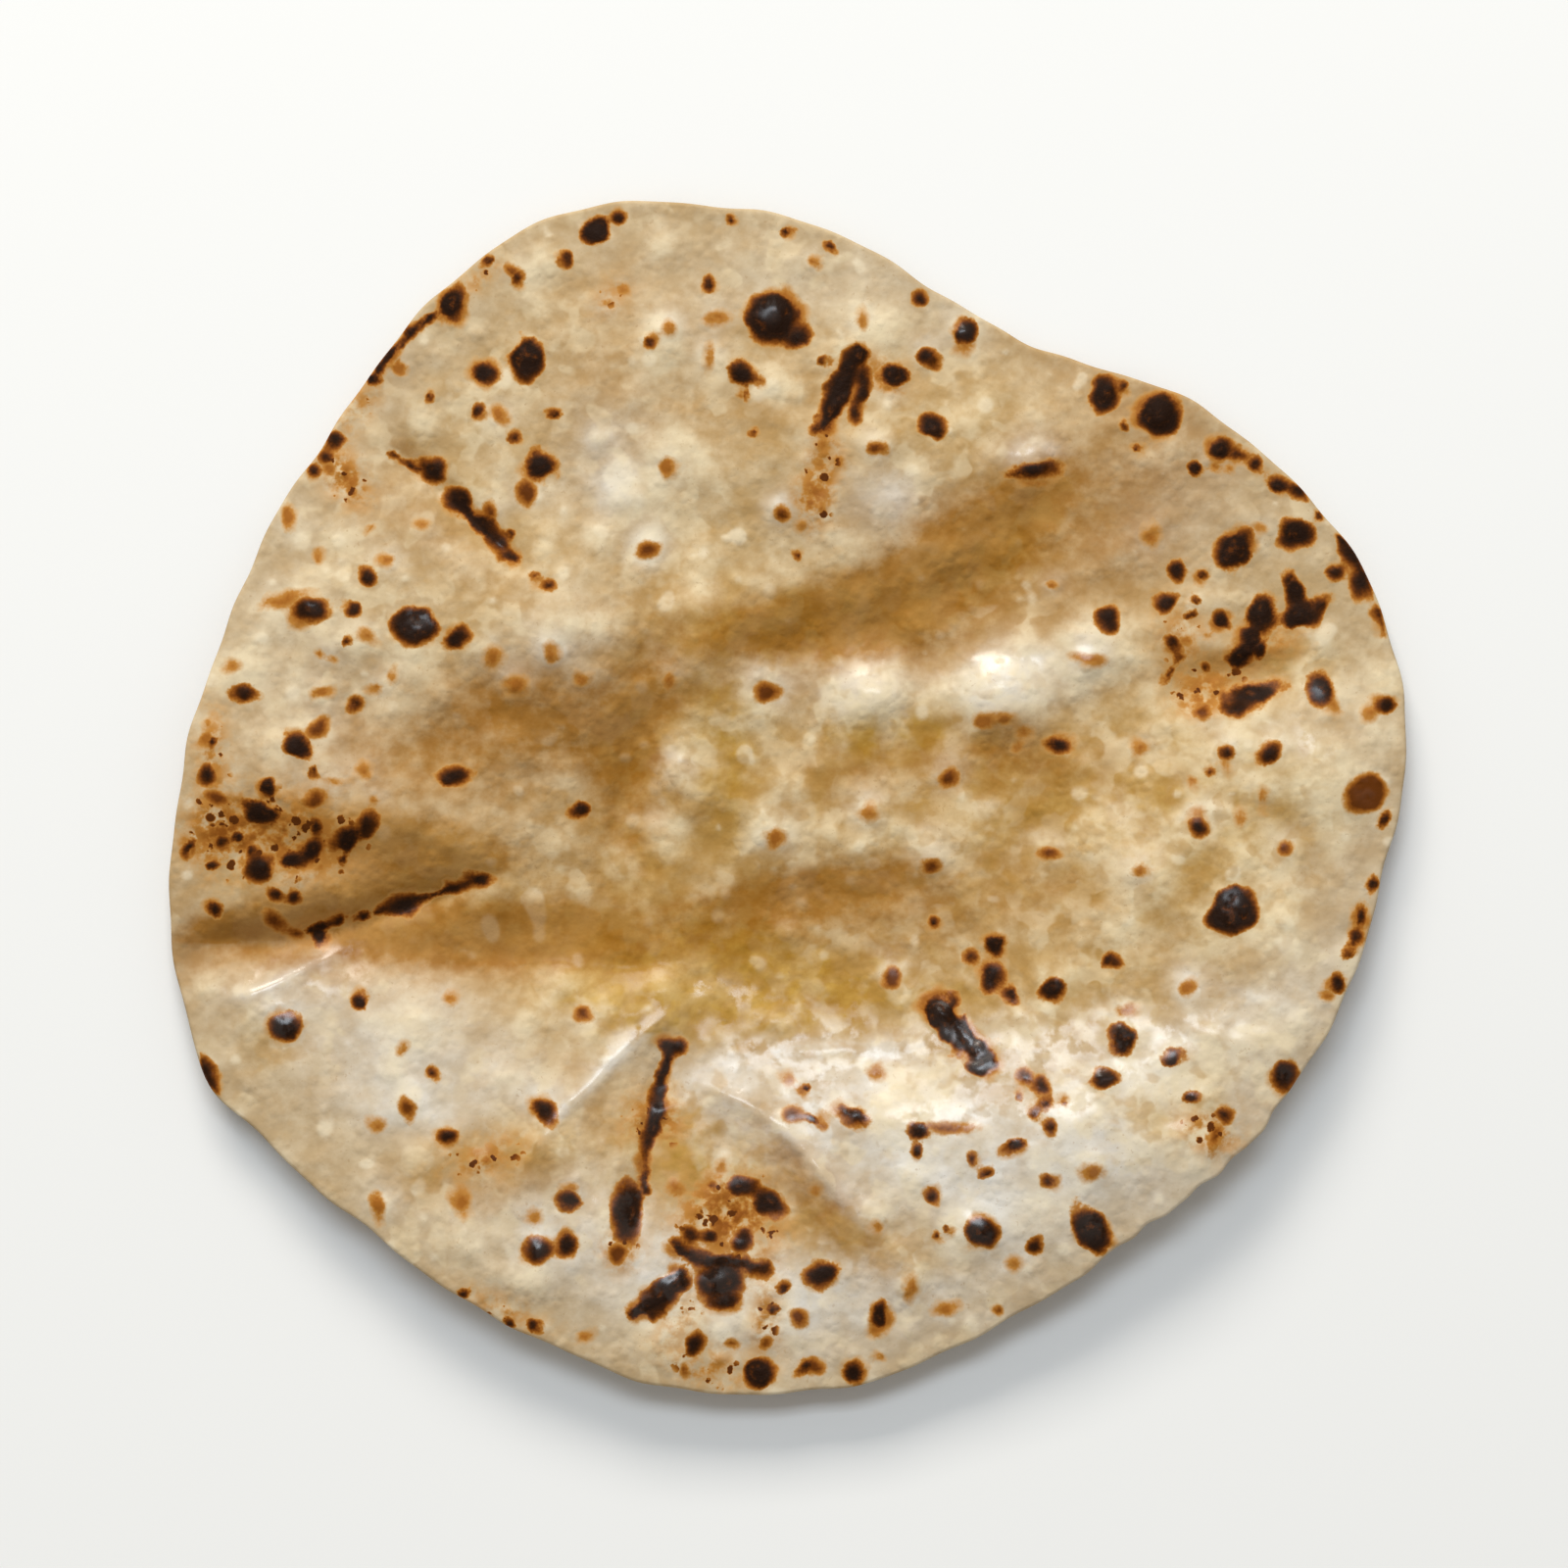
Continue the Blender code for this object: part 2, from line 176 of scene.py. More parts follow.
# Long charred spots: x, y, length, width, bearing.
CHARRED_LONG = (
    (-51.5, 76, 5.2, 4.2, 80), (-40, 67.5, 6.4, 5, 75), (-38, 51, 4.8, 4.4, 0),
    (-69.5, 55, 2.8, 2.2, 0), (-54.5, 50.5, 3.8, 3.1, -20), (-42, 37, 2.8, 1.8, -40),
    (-2.5, 73.5, 8.2, 7.4, 20), (1.5, 70.8, 3.6, 2.6, 0), (-7, 65, 4.8, 3, -25), (16, 65, 4.2, 3.6, 0),
    (21.2, 67.3, 2.8, 2.2, 0), (26.8, 71.8, 4.2, 3.3, 90), (47.8, 62, 5.8, 4, 85),
    (37, 50.4, 6.4, 2.4, 5), (74.5, 48, 3.3, 2.4, -10), (77.8, 47, 3.3, 1.8, -20),
    (77.5, 41, 5.2, 4.4, -20), (68, 38.3, 5.8, 5, 60), (83, 35.3, 2.3, 1.8, 0),
    (87.3, 33, 3.4, 2.5, 100), (-72.5, 29, 4.1, 3.2, 0), (-56.5, 26.8, 6.8, 5.4, -10),
    (-50.5, 24.3, 3.3, 2.8, 30), (-83, 16.3, 3.6, 2.1, -15), (-74.3, 8.2, 4.6, 3.2, -40),
    (-79.8, -2, 6.8, 3.4, -15), (-75.5, -9, 3.6, 2.8, 0), (-72.8, -7.8, 4.4, 2.8, 50),
    (-91, -7, 2.9, 1.9, 80), (-67.3, -5.8, 4.2, 3.4, 70), (-64.3, -4, 3.7, 2.1, 65),
    (-50.8, 3.7, 4, 2.5, 15), (-71.7, -20.8, 3.7, 2.5, 100), (-65.3, -17.6, 2.5, 1.5, 10),
    (-58.7, -16, 5.8, 3, 12), (-47, -12, 3.5, 2.2, 0), (30.9, -26.7, 4.3, 3, 90),
    (40.8, 8.8, 3.2, 2, 0), (48.8, 27.6, 3.1, 2.6, 60), (72, 28.5, 6.2, 4, 85), (77.5, 28.3, 6, 4, 10),
    (77, 31.8, 5.2, 3.2, 100), (80.5, 29.8, 2.8, 1.4, 25), (70.6, 16.4, 8.4, 3.4, 7),
    (68, 14.4, 3.2, 2.2, 20), (80.8, 17.3, 4.3, 3.7, 70), (91, 14.7, 2.8, 2.1, 0),
    (73, 7.2, 3.3, 2.2, 40), (90.3, -2.8, 2.8, 2, 60), (88.5, -12.2, 2.6, 1.9, 70),
    (86.8, -17.5, 3.2, 1.7, 75), (85.5, -21, 3.2, 1.7, 65), (82.8, -27.5, 2.7, 2.1, 60),
    (58.2, 19.6, 2.2, 1.2, 60), (59.6, 21.8, 2, 1, 95), (-76.5, -34.5, 4.3, 3.7, 20),
    (-37.4, -47, 3.4, 2.5, -45), (-88.4, -41.5, 5.4, 2.1, 112), (-38.2, -67.9, 3.5, 2.9, 10),
    (-33.4, -67, 3.2, 2.8, 80), (-33, -60.5, 2.8, 2.2, 0), (-49.4, -74.4, 2.1, 1.4, 30),
    (-24.5, -62.3, 8.2, 3.7, 85), (-7.2, -58.7, 3.9, 2.6, 0), (-3.2, -61.2, 4.8, 3.5, -35),
    (-10.5, -72.7, 6, 4.8, 0), (-9.8, -75.8, 4.2, 2.4, 0), (5.2, -71.7, 5.2, 3.5, 35),
    (13.7, -77.8, 4.5, 3, 90), (-4.8, -87, 4.8, 4.4, 90), (28.8, -65, 5.4, 4.6, -10),
    (19.5, -50, 3.7, 2.6, -10), (10.8, -48.2, 2.7, 1.8, -15), (-2.5, -77, 2.1, 1.5, 10),
    (39.8, -28.3, 3.8, 3.2, 10), (34.3, -52, 3.4, 2, 25), (50.4, -36, 4.4, 3.8, 90),
    (57.8, -38.7, 3.8, 2.3, 10), (47.7, -42.3, 3.4, 2.5, 20), (74.8, -41.3, 4.4, 3.5, 75),
    (45.7, -64.8, 7.6, 4.6, -60), (10.3, 59, 2.6, 1.8, 90), (3, -85.8, 2.6, 1.6, 25),
    (-50.3, 45.7, 3.4, 3, 0), (-46.6, 42.4, 3.4, 2.4, -45), (-44.2, 39.6, 2.4, 1.7, -40),
)
# Charred streaks: the points a streak runs through, width.
CHARRED_STREAKS = (
    (((-54, 74.5), (-58.5, 70.5), (-63, 66)), 1.4),
    (((-61, 53), (-57, 50.5)), 0.9),
    (((-51, 46.5), (-48, 43), (-45, 40)), 2),
    (((10.5, 68.5), (9, 65), (7, 62), (5.5, 57)), 3.2),
    (((11.2, 65.5), (10.8, 61)), 2),
    (((84, 40), (86, 37), (88, 34)), 1.7),
    (((89.6, 29), (91, 25.5)), 0.9),
    (((70.8, 26), (69.4, 23.6), (67.8, 21.5)), 2.8),
    (((-74, -20.3), (-68.5, -18)), 1.4),
    (((-63, -17), (-58, -15.5), (-50, -13), (-47, -12)), 1.2),
    (((-17.8, -37.3), (-19, -42), (-20, -46)), 1.5),
    (((-20.2, -46), (-20.8, -50)), 2.7),
    (((-18.9, -36.9), (-16.9, -37.6)), 1.6),
    (((-21.2, -51), (-21.8, -54.5), (-22, -59)), 1.1),
    (((-17.5, -67.5), (-14, -69.5), (-9, -70.2), (-4, -70.5)), 1.7),
    (((-16.5, -71.5), (-19, -75), (-23, -77)), 3.4),
    (((22, -31), (26.5, -35.5), (29.8, -39.8)), 4.3),
    (((8, -47), (10.8, -48.2)), 1.1),
    (((0.5, -47.6), (5, -49.2)), 1),
)
# Browned spots, dark at the middle but not black: x, y, length, width, bearing.
BROWNED = (
    (87.5, 1, 6.8, 5.8, 35), (-2.9, 16.7, 3.8, 2.9, 10), (24.3, 3.6, 2.8, 2.3, 90),
    (21.5, -9.8, 2.8, 2.3, 0), (15.7, -27.1, 2.9, 2.7, 0), (-21.3, 38, 3.6, 2.4, 10),
    (-1.2, 43.8, 2.4, 2.2, 0), (39.7, -8.1, 3, 2, 10), (75.3, -6.8, 2.4, 2.3, 0),
    (63.2, 13.3, 2.8, 2.4, 0), (-71.3, 11, 3.2, 2.2, 35), (-31.3, -32.5, 2.8, 2, 0),
    (-58, -46.6, 3.4, 2.2, 100), (-42, 81, 2.6, 1.8, -40), (3.5, -86, 3.4, 2.4, 20),
    (-25.8, -68.5, 3.2, 2.6, 0), (0.6, -47.6, 2.8, 2.4, 0), (-45.5, 44, 2.8, 2.2, 90),
    (-78.5, -18.2, 3.6, 2.4, -30), (-75.6, -20.3, 3, 1.8, -20), (-86.8, 0.3, 3.6, 2.2, -30),
    (-72, 0.2, 4.2, 2.4, 5), (24, -49.4, 7.5, 1.4, 2), (64.3, -50.8, 4.4, 1.6, 75),
    (-3.5, -82, 2.4, 1.8, 60), (31.4, -77.3, 1.8, 1.6, 0), (-11.8, -58.3, 1.6, 1.4, 0),
    (-15.5, -86.3, 2, 1.4, 90), (-40, 47, 4.2, 2.6, 90), (-8.6, -82.2, 1.9, 1.3, 0),
    (1.3, -78.3, 2.9, 2.6, 0), (13.3, 53.8, 2.6, 2.4, 0),
)
# Toasted spots, orange-brown at most: x, y, length, width, bearing.
TOASTED = (
    (-59.5, 66, 2.8, 2.6, 0), (-44, 58.5, 2.4, 2.2, 0), (-61, 36.5, 2.2, 2, 0),
    (-71.5, 37, 1.8, 1.6, 0), (-64, 41.5, 1.6, 1.4, 0), (-55.5, 42, 1.6, 1.4, 0),
    (3.8, 82, 2.1, 1.8, 0), (-18.3, 71.7, 2.2, 2, 0), (-28, 75.5, 2, 1.6, 0), (-25, 78, 1.8, 1.5, 0),
    (7.3, 51.5, 1.5, 1.3, 0), (5.8, 48.3, 1.5, 1.3, 0), (2.3, 42, 1.6, 1.3, 0),
    (4.8, 44.8, 2.2, 1.3, 80), (2.2, 45.6, 1.4, 1.3, 0), (65, 51, 1.8, 1.5, 0), (67, 50.5, 1.6, 1.4, 0),
    (40.3, 33, 2.4, 2.2, 0), (55, 40, 3.4, 2.2, 90), (-71.3, 22.5, 1.8, 1.6, 0),
    (-69.3, 21.8, 1.3, 1.1, 0), (-84.8, 20, 1.6, 1.3, 0), (-62.5, 17, 1.7, 1.5, 0),
    (-36, 21.8, 2.3, 1.9, 90), (-41.2, 17.3, 2.6, 2.3, 90), (-45, 21.8, 2.4, 2, 20),
    (-62.5, 0.4, 1.6, 1.4, 0), (-70.7, -10, 1.8, 1.4, 0), (-74.3, -12, 1.4, 1.3, 0),
    (-51.8, -30, 1.8, 1.5, 0), (-31.3, 18.5, 2.1, 1.8, 0), (-18.3, 18.3, 2.7, 1.8, 90),
    (29.8, 12, 3.1, 2.8, 0), (32.7, 12.4, 2.6, 2.2, 0), (12, -1.6, 2, 1.8, 0), (-2, -5.8, 2.9, 2.7, 90),
    (53.5, 8, 2, 1.8, 0), (60.8, 3, 1.7, 1.4, 90), (36, 10.5, 1.7, 1.4, 0), (34.8, 8.5, 1.7, 1.5, 0),
    (60.4, 24.5, 2.2, 1.8, 0), (64, 25, 1.5, 1.2, 0), (-58.5, -37.8, 1.5, 1.3, 0),
    (-62.6, -49, 2, 1.8, 0), (-45.6, -54.1, 2.3, 1.9, 0), (-38.7, -63, 1.7, 1.4, 0),
    (-33, -58.7, 2.2, 1.8, 0), (-10.3, -55.8, 1.5, 1.3, 0), (13, -64.5, 1.6, 1.4, 0),
    (4, -59, 1.8, 1.5, 0), (14.1, -84.5, 1.7, 1.3, 0), (-30.8, -81.2, 1.9, 1.5, 0),
    (-0.3, -42.5, 2, 1.6, -30), (33.8, -69.8, 1.8, 1.5, 0), (13.3, -41.2, 2.2, 1.6, 0),
    (-18.5, 50.5, 3.2, 2.4, 90), (-12, 68, 3.2, 1.4, 90), (-11, 73.5, 3.2, 1.7, 0),
    (-77, 30.4, 6.5, 2.2, 15), (-74.5, 27.4, 2.6, 1.8, 0), (-64.2, 25, 2.4, 1.8, 0),
    (-71, 16.5, 3, 2.2, 0), (-60.2, 19, 2.8, 1.3, 80), (-88.5, 9, 2.8, 2.5, 0),
    (-88, 11.5, 2.2, 1.6, 90), (-64.2, 4.5, 2.2, 1.7, 90), (-68.8, 2.8, 2.4, 1.2, 0),
    (-74, -3.5, 3.2, 1.7, 90), (45.5, 21.4, 4.2, 1.8, -10), (53, -10.3, 3.2, 2.1, 0),
    (68.3, -2.7, 2.2, 1.4, 90), (71.7, 0.6, 2.7, 1.7, 90), (82.2, 14.8, 3.6, 1.6, -50),
    (88.6, 13.6, 2.8, 1.7, 30), (60.1, -28.6, 2.8, 2.3, 90), (50.8, -31.7, 2.2, 1.6, 0),
    (81.2, -29.5, 2.2, 2, 0), (-62.1, -61.3, 4, 2.5, 95), (-49.7, -60.4, 3.4, 2.3, 95),
    (-17.5, -58.8, 2.6, 1.8, 0), (18.2, -73.8, 2.9, 2, 80), (23.8, -77, 2.7, 2.2, 0),
    (45.8, -55.7, 3.8, 2.7, 20), (-76, 43, 4.2, 2.2, 90), (-70, 50.5, 3.2, 2.2, -50),
    (-67, 47.5, 3.6, 2, -60), (66.3, 5.8, 1.8, 1.2, 90), (61.8, -2.2, 2, 1.4, 60),
    (-42.5, 18, 0.8, 0.8, 0), (37, 48.6, 3.2, 1.2, 0), (11, 73, 2.4, 1.4, 90), (5.2, 54.2, 3, 1.8, 90),
    (15.6, 62.6, 3.4, 1.6, 0), (27.2, 69.2, 3, 1.6, 0), (-79, 45.5, 1.6, 1.3, 0),
    (72, 41.5, 1.6, 1.3, 0),
)
# Speckled hazes of toast: x, y, half length, half width, bearing, strength.
TOAST_HAZES = (
    (-76, -5.5, 9, 5, -10, 1), (-86.5, -6, 3.5, 4, 0, 0.7), (-9, -63, 5.5, 4.8, -20, 1.25),
    (-67.5, 49, 3.6, 2.2, -55, 1), (-43, -77, 5, 1.8, -25, 0.6), (-12, -86, 5, 2.4, -15, 0.7),
    (60, 24.5, 3.2, 5.5, 10, 0.6), (62.5, 15, 3, 2, 0, 0.7), (-46, -54, 5.5, 2.4, 15, 0.7),
    (3.5, 45, 2.2, 3, 0, 0.8), (5.5, 52, 2.2, 4.5, -10, 0.7), (-25.5, -68, 2, 2.2, 0, 0.9),
    (-20.5, -48.5, 3, 3.6, 80, 0.9), (-27, 77, 2.6, 2, 40, 0.5), (-47, 80, 3, 1.4, 40, 0.6),
    (-66, 60, 4, 2, 55, 0.6), (74, 24, 4, 2.4, 30, 0.6), (63.5, -50, 2.4, 3.6, 70, 0.8),
    (-3.5, -79, 1.6, 4.5, 0, 0.7), (12.5, 66, 2, 4.5, 80, 0.6), (-16, -78, 4, 2, 40, 0.5),
    (-87.5, 8, 1.8, 5, 0, 0.7), (66, 18.5, 3.4, 1.6, 10, 0.5), (-72, -19.8, 5, 1.6, 15, 0.6),
)
# Greasy, see-through patches: x, y, half length, half width, bearing, strength.
GREASE = (
    (-2, -26, 20, 5.5, 0, 0.6), (-21, -24, 9, 5, 15, 0.8), (3, 27.5, 14, 4.5, 3, 0.75),
    (33, 38, 9, 4, 42, 0.7), (20, 2, 26, 13, 0, 0.5), (-10, 12, 4, 12, 0, 0.7),
    (-23, 3, 5, 16, -5, 0.5), (14, 10, 10, 3, 0, 0.6), (48, -6, 18, 10, 0, 0.3),
    (-55, -14, 26, 6, 5, 0.45), (-45, -54, 9, 3.5, 10, 0.8), (-19, -51, 6, 6, 0, 0.7),
    (10, -66, 14, 4.5, -20, 0.7), (59, -47, 7, 4, 20, 0.6), (-82, -37, 8, 4, -20, 0.6),
    (24, -43, 30, 8, 0, 0.45), (-10, -56, 10, 8, 0, 0.4), (76, 21, 7, 2.5, 10, 0.6),
    (-52, 60, 9, 9, 0, 0.3), (30, 55, 14, 8, 0, 0.25), (50, -30, 16, 6, 0, 0.3),
    (70, -4, 14, 12, 0, 0.45), (-5, -29, 18, 4.6, 0, 0.75), (-14, -29.5, 10, 4, 8, 1.1),
    (-55, 38, 16, 12, 0, 0.25),
)
# Opaque, creamy patches, some of them pale painted highlights on the tops of domes and blisters: x, y,
# half length, half width, bearing, strength.
CREAM_AND_HIGHLIGHTS = (
    (22, -50, 24, 9, -4, 1.3), (-12, -72, 24, 8, -5, 1.1), (-62, -40, 18, 9, -15, 0.9),
    (60, -46, 14, 10, 30, 0.8), (30, -74, 18, 6, 20, 0.7), (79, -8, 8, 14, 0, 0.1),
    (85, -14, 6, 8, 0, 0.6), (80, -28, 9, 6, 30, 0.6), (-10, -44, 8, 5, -40, 0.8),
    (-62, 40, 12, 7, -30, 0.25), (33, 17.5, 6, 4, 0, 0.9), (14, 46, 8, 4, 0, 0.4),
    (-28, 52, 6, 7, 0, 0.4), (37, 52.6, 3, 1.5, 0, 1.2), (-58, 60, 9, 8, 0, 0.4),
    (-8, 20, 6, 5, 0, 0.4), (12, 16.5, 6, 4.5, 0, 0.6), (-75, 18, 8, 16, 0, 0.35),
    (82, 10, 7, 5, 0, 0.3), (12, 80, 22, 5, 0, 0.35), (60, 45, 9, 7, 0, 0.3), (-33, 22, 6, 8, 0, 0.35),
)
# Thin crests where the skin is drawn over a fold, painted pale as painted highlights and given a wet
# film: the points, half width, strength.
CREST_HIGHLIGHT_LINES = (
    (((-9, -28), (-12.5, -29.2), (-18, -32.8), (-24.5, -37.5), (-30, -43), (-34.5, -47.5),
      (-40, -56)), 0.8, 1.1),
    (((-18, -41.5), (-9.3, -45), (-2.7, -48.5), (3.8, -55), (9.2, -61.5), (14.6, -68)), 0.9, 1.5),
    (((-88, -31), (-80, -28.5), (-72, -24.5), (-64, -21.5)), 1, 0.9),
    (((-6, -38.5), (6, -37.7), (16, -37.5), (24, -35.5)), 1, 1),
    (((62, -27), (74, -31), (84, -36)), 1, 0.6),
    (((26, 22), (34, 21), (42, 23)), 0.9, 0.6),
    (((-24, 4), (-18, 7), (-13, 3)), 1.2, 0.6),
)
# Deep ochre in the folds and under swells, partly fat soaked into the dough and partly painted shade:
# x, y, half length, half width, bearing, strength.
OCHRE_STAINS_AND_SHADE = (
    (3, 27, 16, 4.4, 3, 1.2), (20.5, 35, 10, 4.8, 36, 1.15), (35, 44.5, 8, 4.6, 52, 0.8),
    (-51, 7, 16, 7.5, 5, 0.9), (30, -16, 12, 3, 10, 0.2), (-24, 3, 4.6, 12, -6, 0.5),
    (-50, -21, 20, 3.8, 1, 1.2), (-34, -21.5, 13, 3, -3, 0.5), (-62, -12, 20, 5, 8, 0.45),
    (3.5, -15, 13, 3.2, 9, 0.9), (50, 44, 9, 12, -20, 0.6), (-22, 11, 4, 7, 5, 0.3),
    (4, -60, 10, 2.6, -46, 0.8), (-28, -48, 7, 2.2, -52, 0.3), (-43, -56, 9, 3.5, 15, 0.45),
    (-26, 68, 8, 10, 0, 0.25), (35, 5, 13, 3, 0, 0.45), (66, 20, 10, 2.4, 8, 0.4),
    (45, -9, 20, 7, 0, 0.35), (-58, 44, 14, 3, -38, 0.35), (-85, -24, 8, 2.4, 5, 0.5),
    (55, 60, 12, 5, -35, 0.25), (25, -22, 16, 5, -5, 0.25), (33, 8.5, 9, 2.8, -4, 0.5),
    (12, 4, 9, 3.5, 0, 0.45), (0, 62, 12, 5, 0, 0.25),
)
# Wet shine: x, y, half length, half width, bearing, strength.
WET = (
    (33.5, 17.8, 7, 3.8, 0, 0.75), (12, 18, 5, 3.4, 5, 0.6), (16, -42.5, 20, 5.5, -6, 1.1),
    (26, -50, 14, 5, -10, 0.6), (56, -39, 12, 6, 10, 0.8), (-11, -73, 6, 4, 0, 1),
    (-20, -76, 5, 3, 40, 1), (29, -40, 5, 3.5, -45, 1), (80, 9, 6, 3, -10, 0.7),
    (-77, -29.5, 9, 3.4, 20, 1.1), (47, -39, 10, 5, -5, 0.9), (0, -48, 8, 8, 0, 0.5),
    (-21, -36, 8, 3, 35, 0.7), (-12, -29, 4, 2, 0, 0.9), (46, -58, 12, 6, 0, 0.4),
    (22, -60, 12, 5, 0, 0.6), (-33, -62, 5, 7, 0, 0.5), (78, -22, 5, 3, 40, 0.6),
    (0, -76, 6, 5, 0, 0.6), (12, 46, 8, 3, 5, 0.6), (46, 23, 3, 1.6, 0, 0.8), (-24, -62, 3, 6, 0, 0.7),
    (37, 52.5, 3, 1.5, 0, 1),
)
# Charred domes with a film of fat on them: x, y, diameter.
GLAZED = (
    (67, -16.5, 7), (26.8, 71.8, 4.2), (-71.8, 29.4, 3.6), (-56, 27.4, 5), (80.8, 17.3, 4),
    (-76.5, -34.2, 4), (-38.2, -67.6, 4), (-33, -60.2, 3.2), (28.8, -64.6, 5), (50.4, -35.6, 4.5),
    (45.5, -64.2, 5), (-10.5, -72.4, 6.5), (87.5, 1.3, 5), (29.5, -39.5, 4.5), (-20, -75, 5),
    (-20.6, -48, 3.5), (-23.6, -60, 4), (57.8, -38.5, 3), (47.7, -42, 3), (74.8, -41, 3.6),
    (39.8, -28, 3.2), (-2.5, 74.2, 4.5), (-43.5, 39.5, 2.4),
)
# Dry, floury patches: x, y, half length, half width, bearing, strength.
FLOURY = (
    (-76, 22, 12, 14, 0, 0.9), (-55, 16, 14, 4, 0, 0.2), (-35, 60, 22, 10, 0, 0.35),
    (-60, 44, 10, 10, 0, 0.5), (82, 22, 6, 10, 0, 0.5), (85, -12, 6, 14, 0, 0.8),
    (-74, -56, 14, 5, -50, 0.9), (-58, -42, 14, 8, -20, 0.5), (70, 36, 12, 10, 0, 0.5),
    (30, -82, 16, 5, 25, 0.6), (-30, -80, 20, 4, -25, 0.5), (0, 84, 40, 5, 0, 0.7),
    (-60, 72, 10, 8, 45, 0.5), (-85, 0, 6, 10, 0, 0.6), (62, 48, 14, 8, -30, 0.5),
)
# Pale blisters with a toasted tip or none: x, y, diameter, height.
PALE_BLISTERS = (
    (33.2, 17, 11, 0.9), (12, 17, 12, 0.7), (37, 51.8, 7, 0.9), (-2.6, 18.2, 6.5, 0.5),
    (-2, -4.6, 6.5, 0.6), (12, -1.6, 5.5, 0.4), (21.5, -8.4, 6, 0.6), (24, 4.8, 5.5, 0.4),
    (15.5, -25.8, 6, 0.5), (53, -9.4, 7, 0.6), (61.8, -3.2, 5.5, 0.4), (45.5, 22.3, 6.5, 0.6),
    (-18.3, 19, 4.5, 0.4), (-41.2, 17.6, 5, 0.4), (-36, 22.2, 4, 0.3), (-29, 55, 4, 0.5),
    (-26.5, 46.5, 6, 0.5), (-20.5, -3.8, 3.4, 0.3), (-18, 4.5, 5, 0.5), (-12, -29, 4.5, 0.5),
    (-19, -28.3, 5, 0.4), (-62.1, -61, 6, 0.5), (-58, -46.2, 5.5, 0.4), (-51.8, -49.8, 4.5, 0.5),
    (-37.6, -46.6, 4.5, 0.4), (-76.8, -34, 6, 0.6), (57.8, -38.5, 6, 0.6), (47.7, -42, 5.5, 0.5),
    (50.4, -35.5, 6, 0.6), (39.7, -7.6, 5, 0.5), (-18.3, 72, 4, 0.4), (-1.2, 44.2, 4, 0.4),
    (-21.3, 38.6, 5, 0.5), (66.3, 8, 4, 0.4), (73.5, 8.2, 4, 0.3), (21.2, 68, 4.5, 0.5),
    (26.8, 72.2, 5.5, 0.6), (60.1, -27.8, 5, 0.4), (28.8, -64.6, 6.5, 0.6), (45.8, -55.4, 5.5, 0.4),
    (-38.2, -67.6, 5, 0.5), (31, 12.5, 6, 0.3), (15, 44.5, 7, 0.4), (30, -1.6, 3, 0.2),
)
# Bubbles of steam in the skin: seed, count, smallest and largest radius, height of the largest.
BROAD_PUFFS = (13, 130, 3.5, 7.5, 0.70)
COARSE_PUFFS = (11, 560, 1.6, 4.2, 0.48)
FINE_PUFFS = (12, 1700, 0.8, 1.7, 0.17)
PIMPLES = (14, 620, 0.6, 1.8)
PIMPLE_HEIGHT = 0.22
PUFF_REACH = 96.0            # bubbles lie within this radius

# A mark's depth is its distance inside the mark's outline, kept within these bounds.
FAR_OUTSIDE = -6.0
DEPTH_LIMIT = 4.0
CHAR_RISE = (0.18, 0.40)     # how much a charred spot puffs up: at its rim, in its middle

# Map of the skin: plan radius that fills a round, then each face's centre and radius.
MAP_REACH = 97.0
UPPER_MAP = ((0.392, 0.392), 0.378)
LOWER_MAP = ((0.800, 0.800), 0.188)


def ease(start, end, value):
    """0 before start, 1 after end, and 3s^2 - 2s^3 between, s being the share of the way."""
    share = np.clip((value - start) / (end - start), 0.0, 1.0)
    return share * share * (3.0 - 2.0 * share)


def lobes(bearing, rows):
    """Sum over the rows of amount * exp(-(angle away / spread)^2 / 2)."""
    total = np.zeros_like(bearing)
    for centre, spread, amount in rows:
        away = np.mod(bearing - centre + 180.0, 360.0) - 180.0
        total += amount * np.exp(-0.5 * (away / spread) ** 2)
    return total


def oval_reach(x, y, cx, cy, half_length, half_width, bearing):
    """How many half-axes a point is from the centre of a turned oval: 1 on its edge."""
    turn = math.radians(bearing)
    along = (x - cx) * math.cos(turn) + (y - cy) * math.sin(turn)
    across = (y - cy) * math.cos(turn) - (x - cx) * math.sin(turn)
    return np.sqrt((along / half_length) ** 2 + (across / half_width) ** 2)


def bells(x, y, rows):
    """Sum over the rows of strength * exp(-reach^2 / 2)."""
    total = np.zeros_like(x)
    for cx, cy, half_length, half_width, bearing, strength in rows:
        reach = oval_reach(x, y, cx, cy, half_length, half_width, bearing)
        total += strength * np.exp(-0.5 * reach ** 2)
    return total


def smooth_path(points, steps=9):
    """Points along the cubic curve that runs through the given ones, tangents by neighbours."""
    knots = np.array(points, dtype=float)
    knots = np.vstack((2.0 * knots[0] - knots[1], knots, 2.0 * knots[-1] - knots[-2]))
    t = np.linspace(0.0, 1.0, steps + 1)[:-1, None]
    a, b, c, d = knots[:-3, None], knots[1:-2, None], knots[2:-1, None], knots[3:, None]
    curve = 0.5 * (2.0 * b + (c - a) * t + (2.0 * a - 5.0 * b + 4.0 * c - d) * t ** 2
                   + (3.0 * b - a - 3.0 * c + d) * t ** 3)
    return np.vstack((curve.reshape(-1, 2), knots[-2][None, :]))


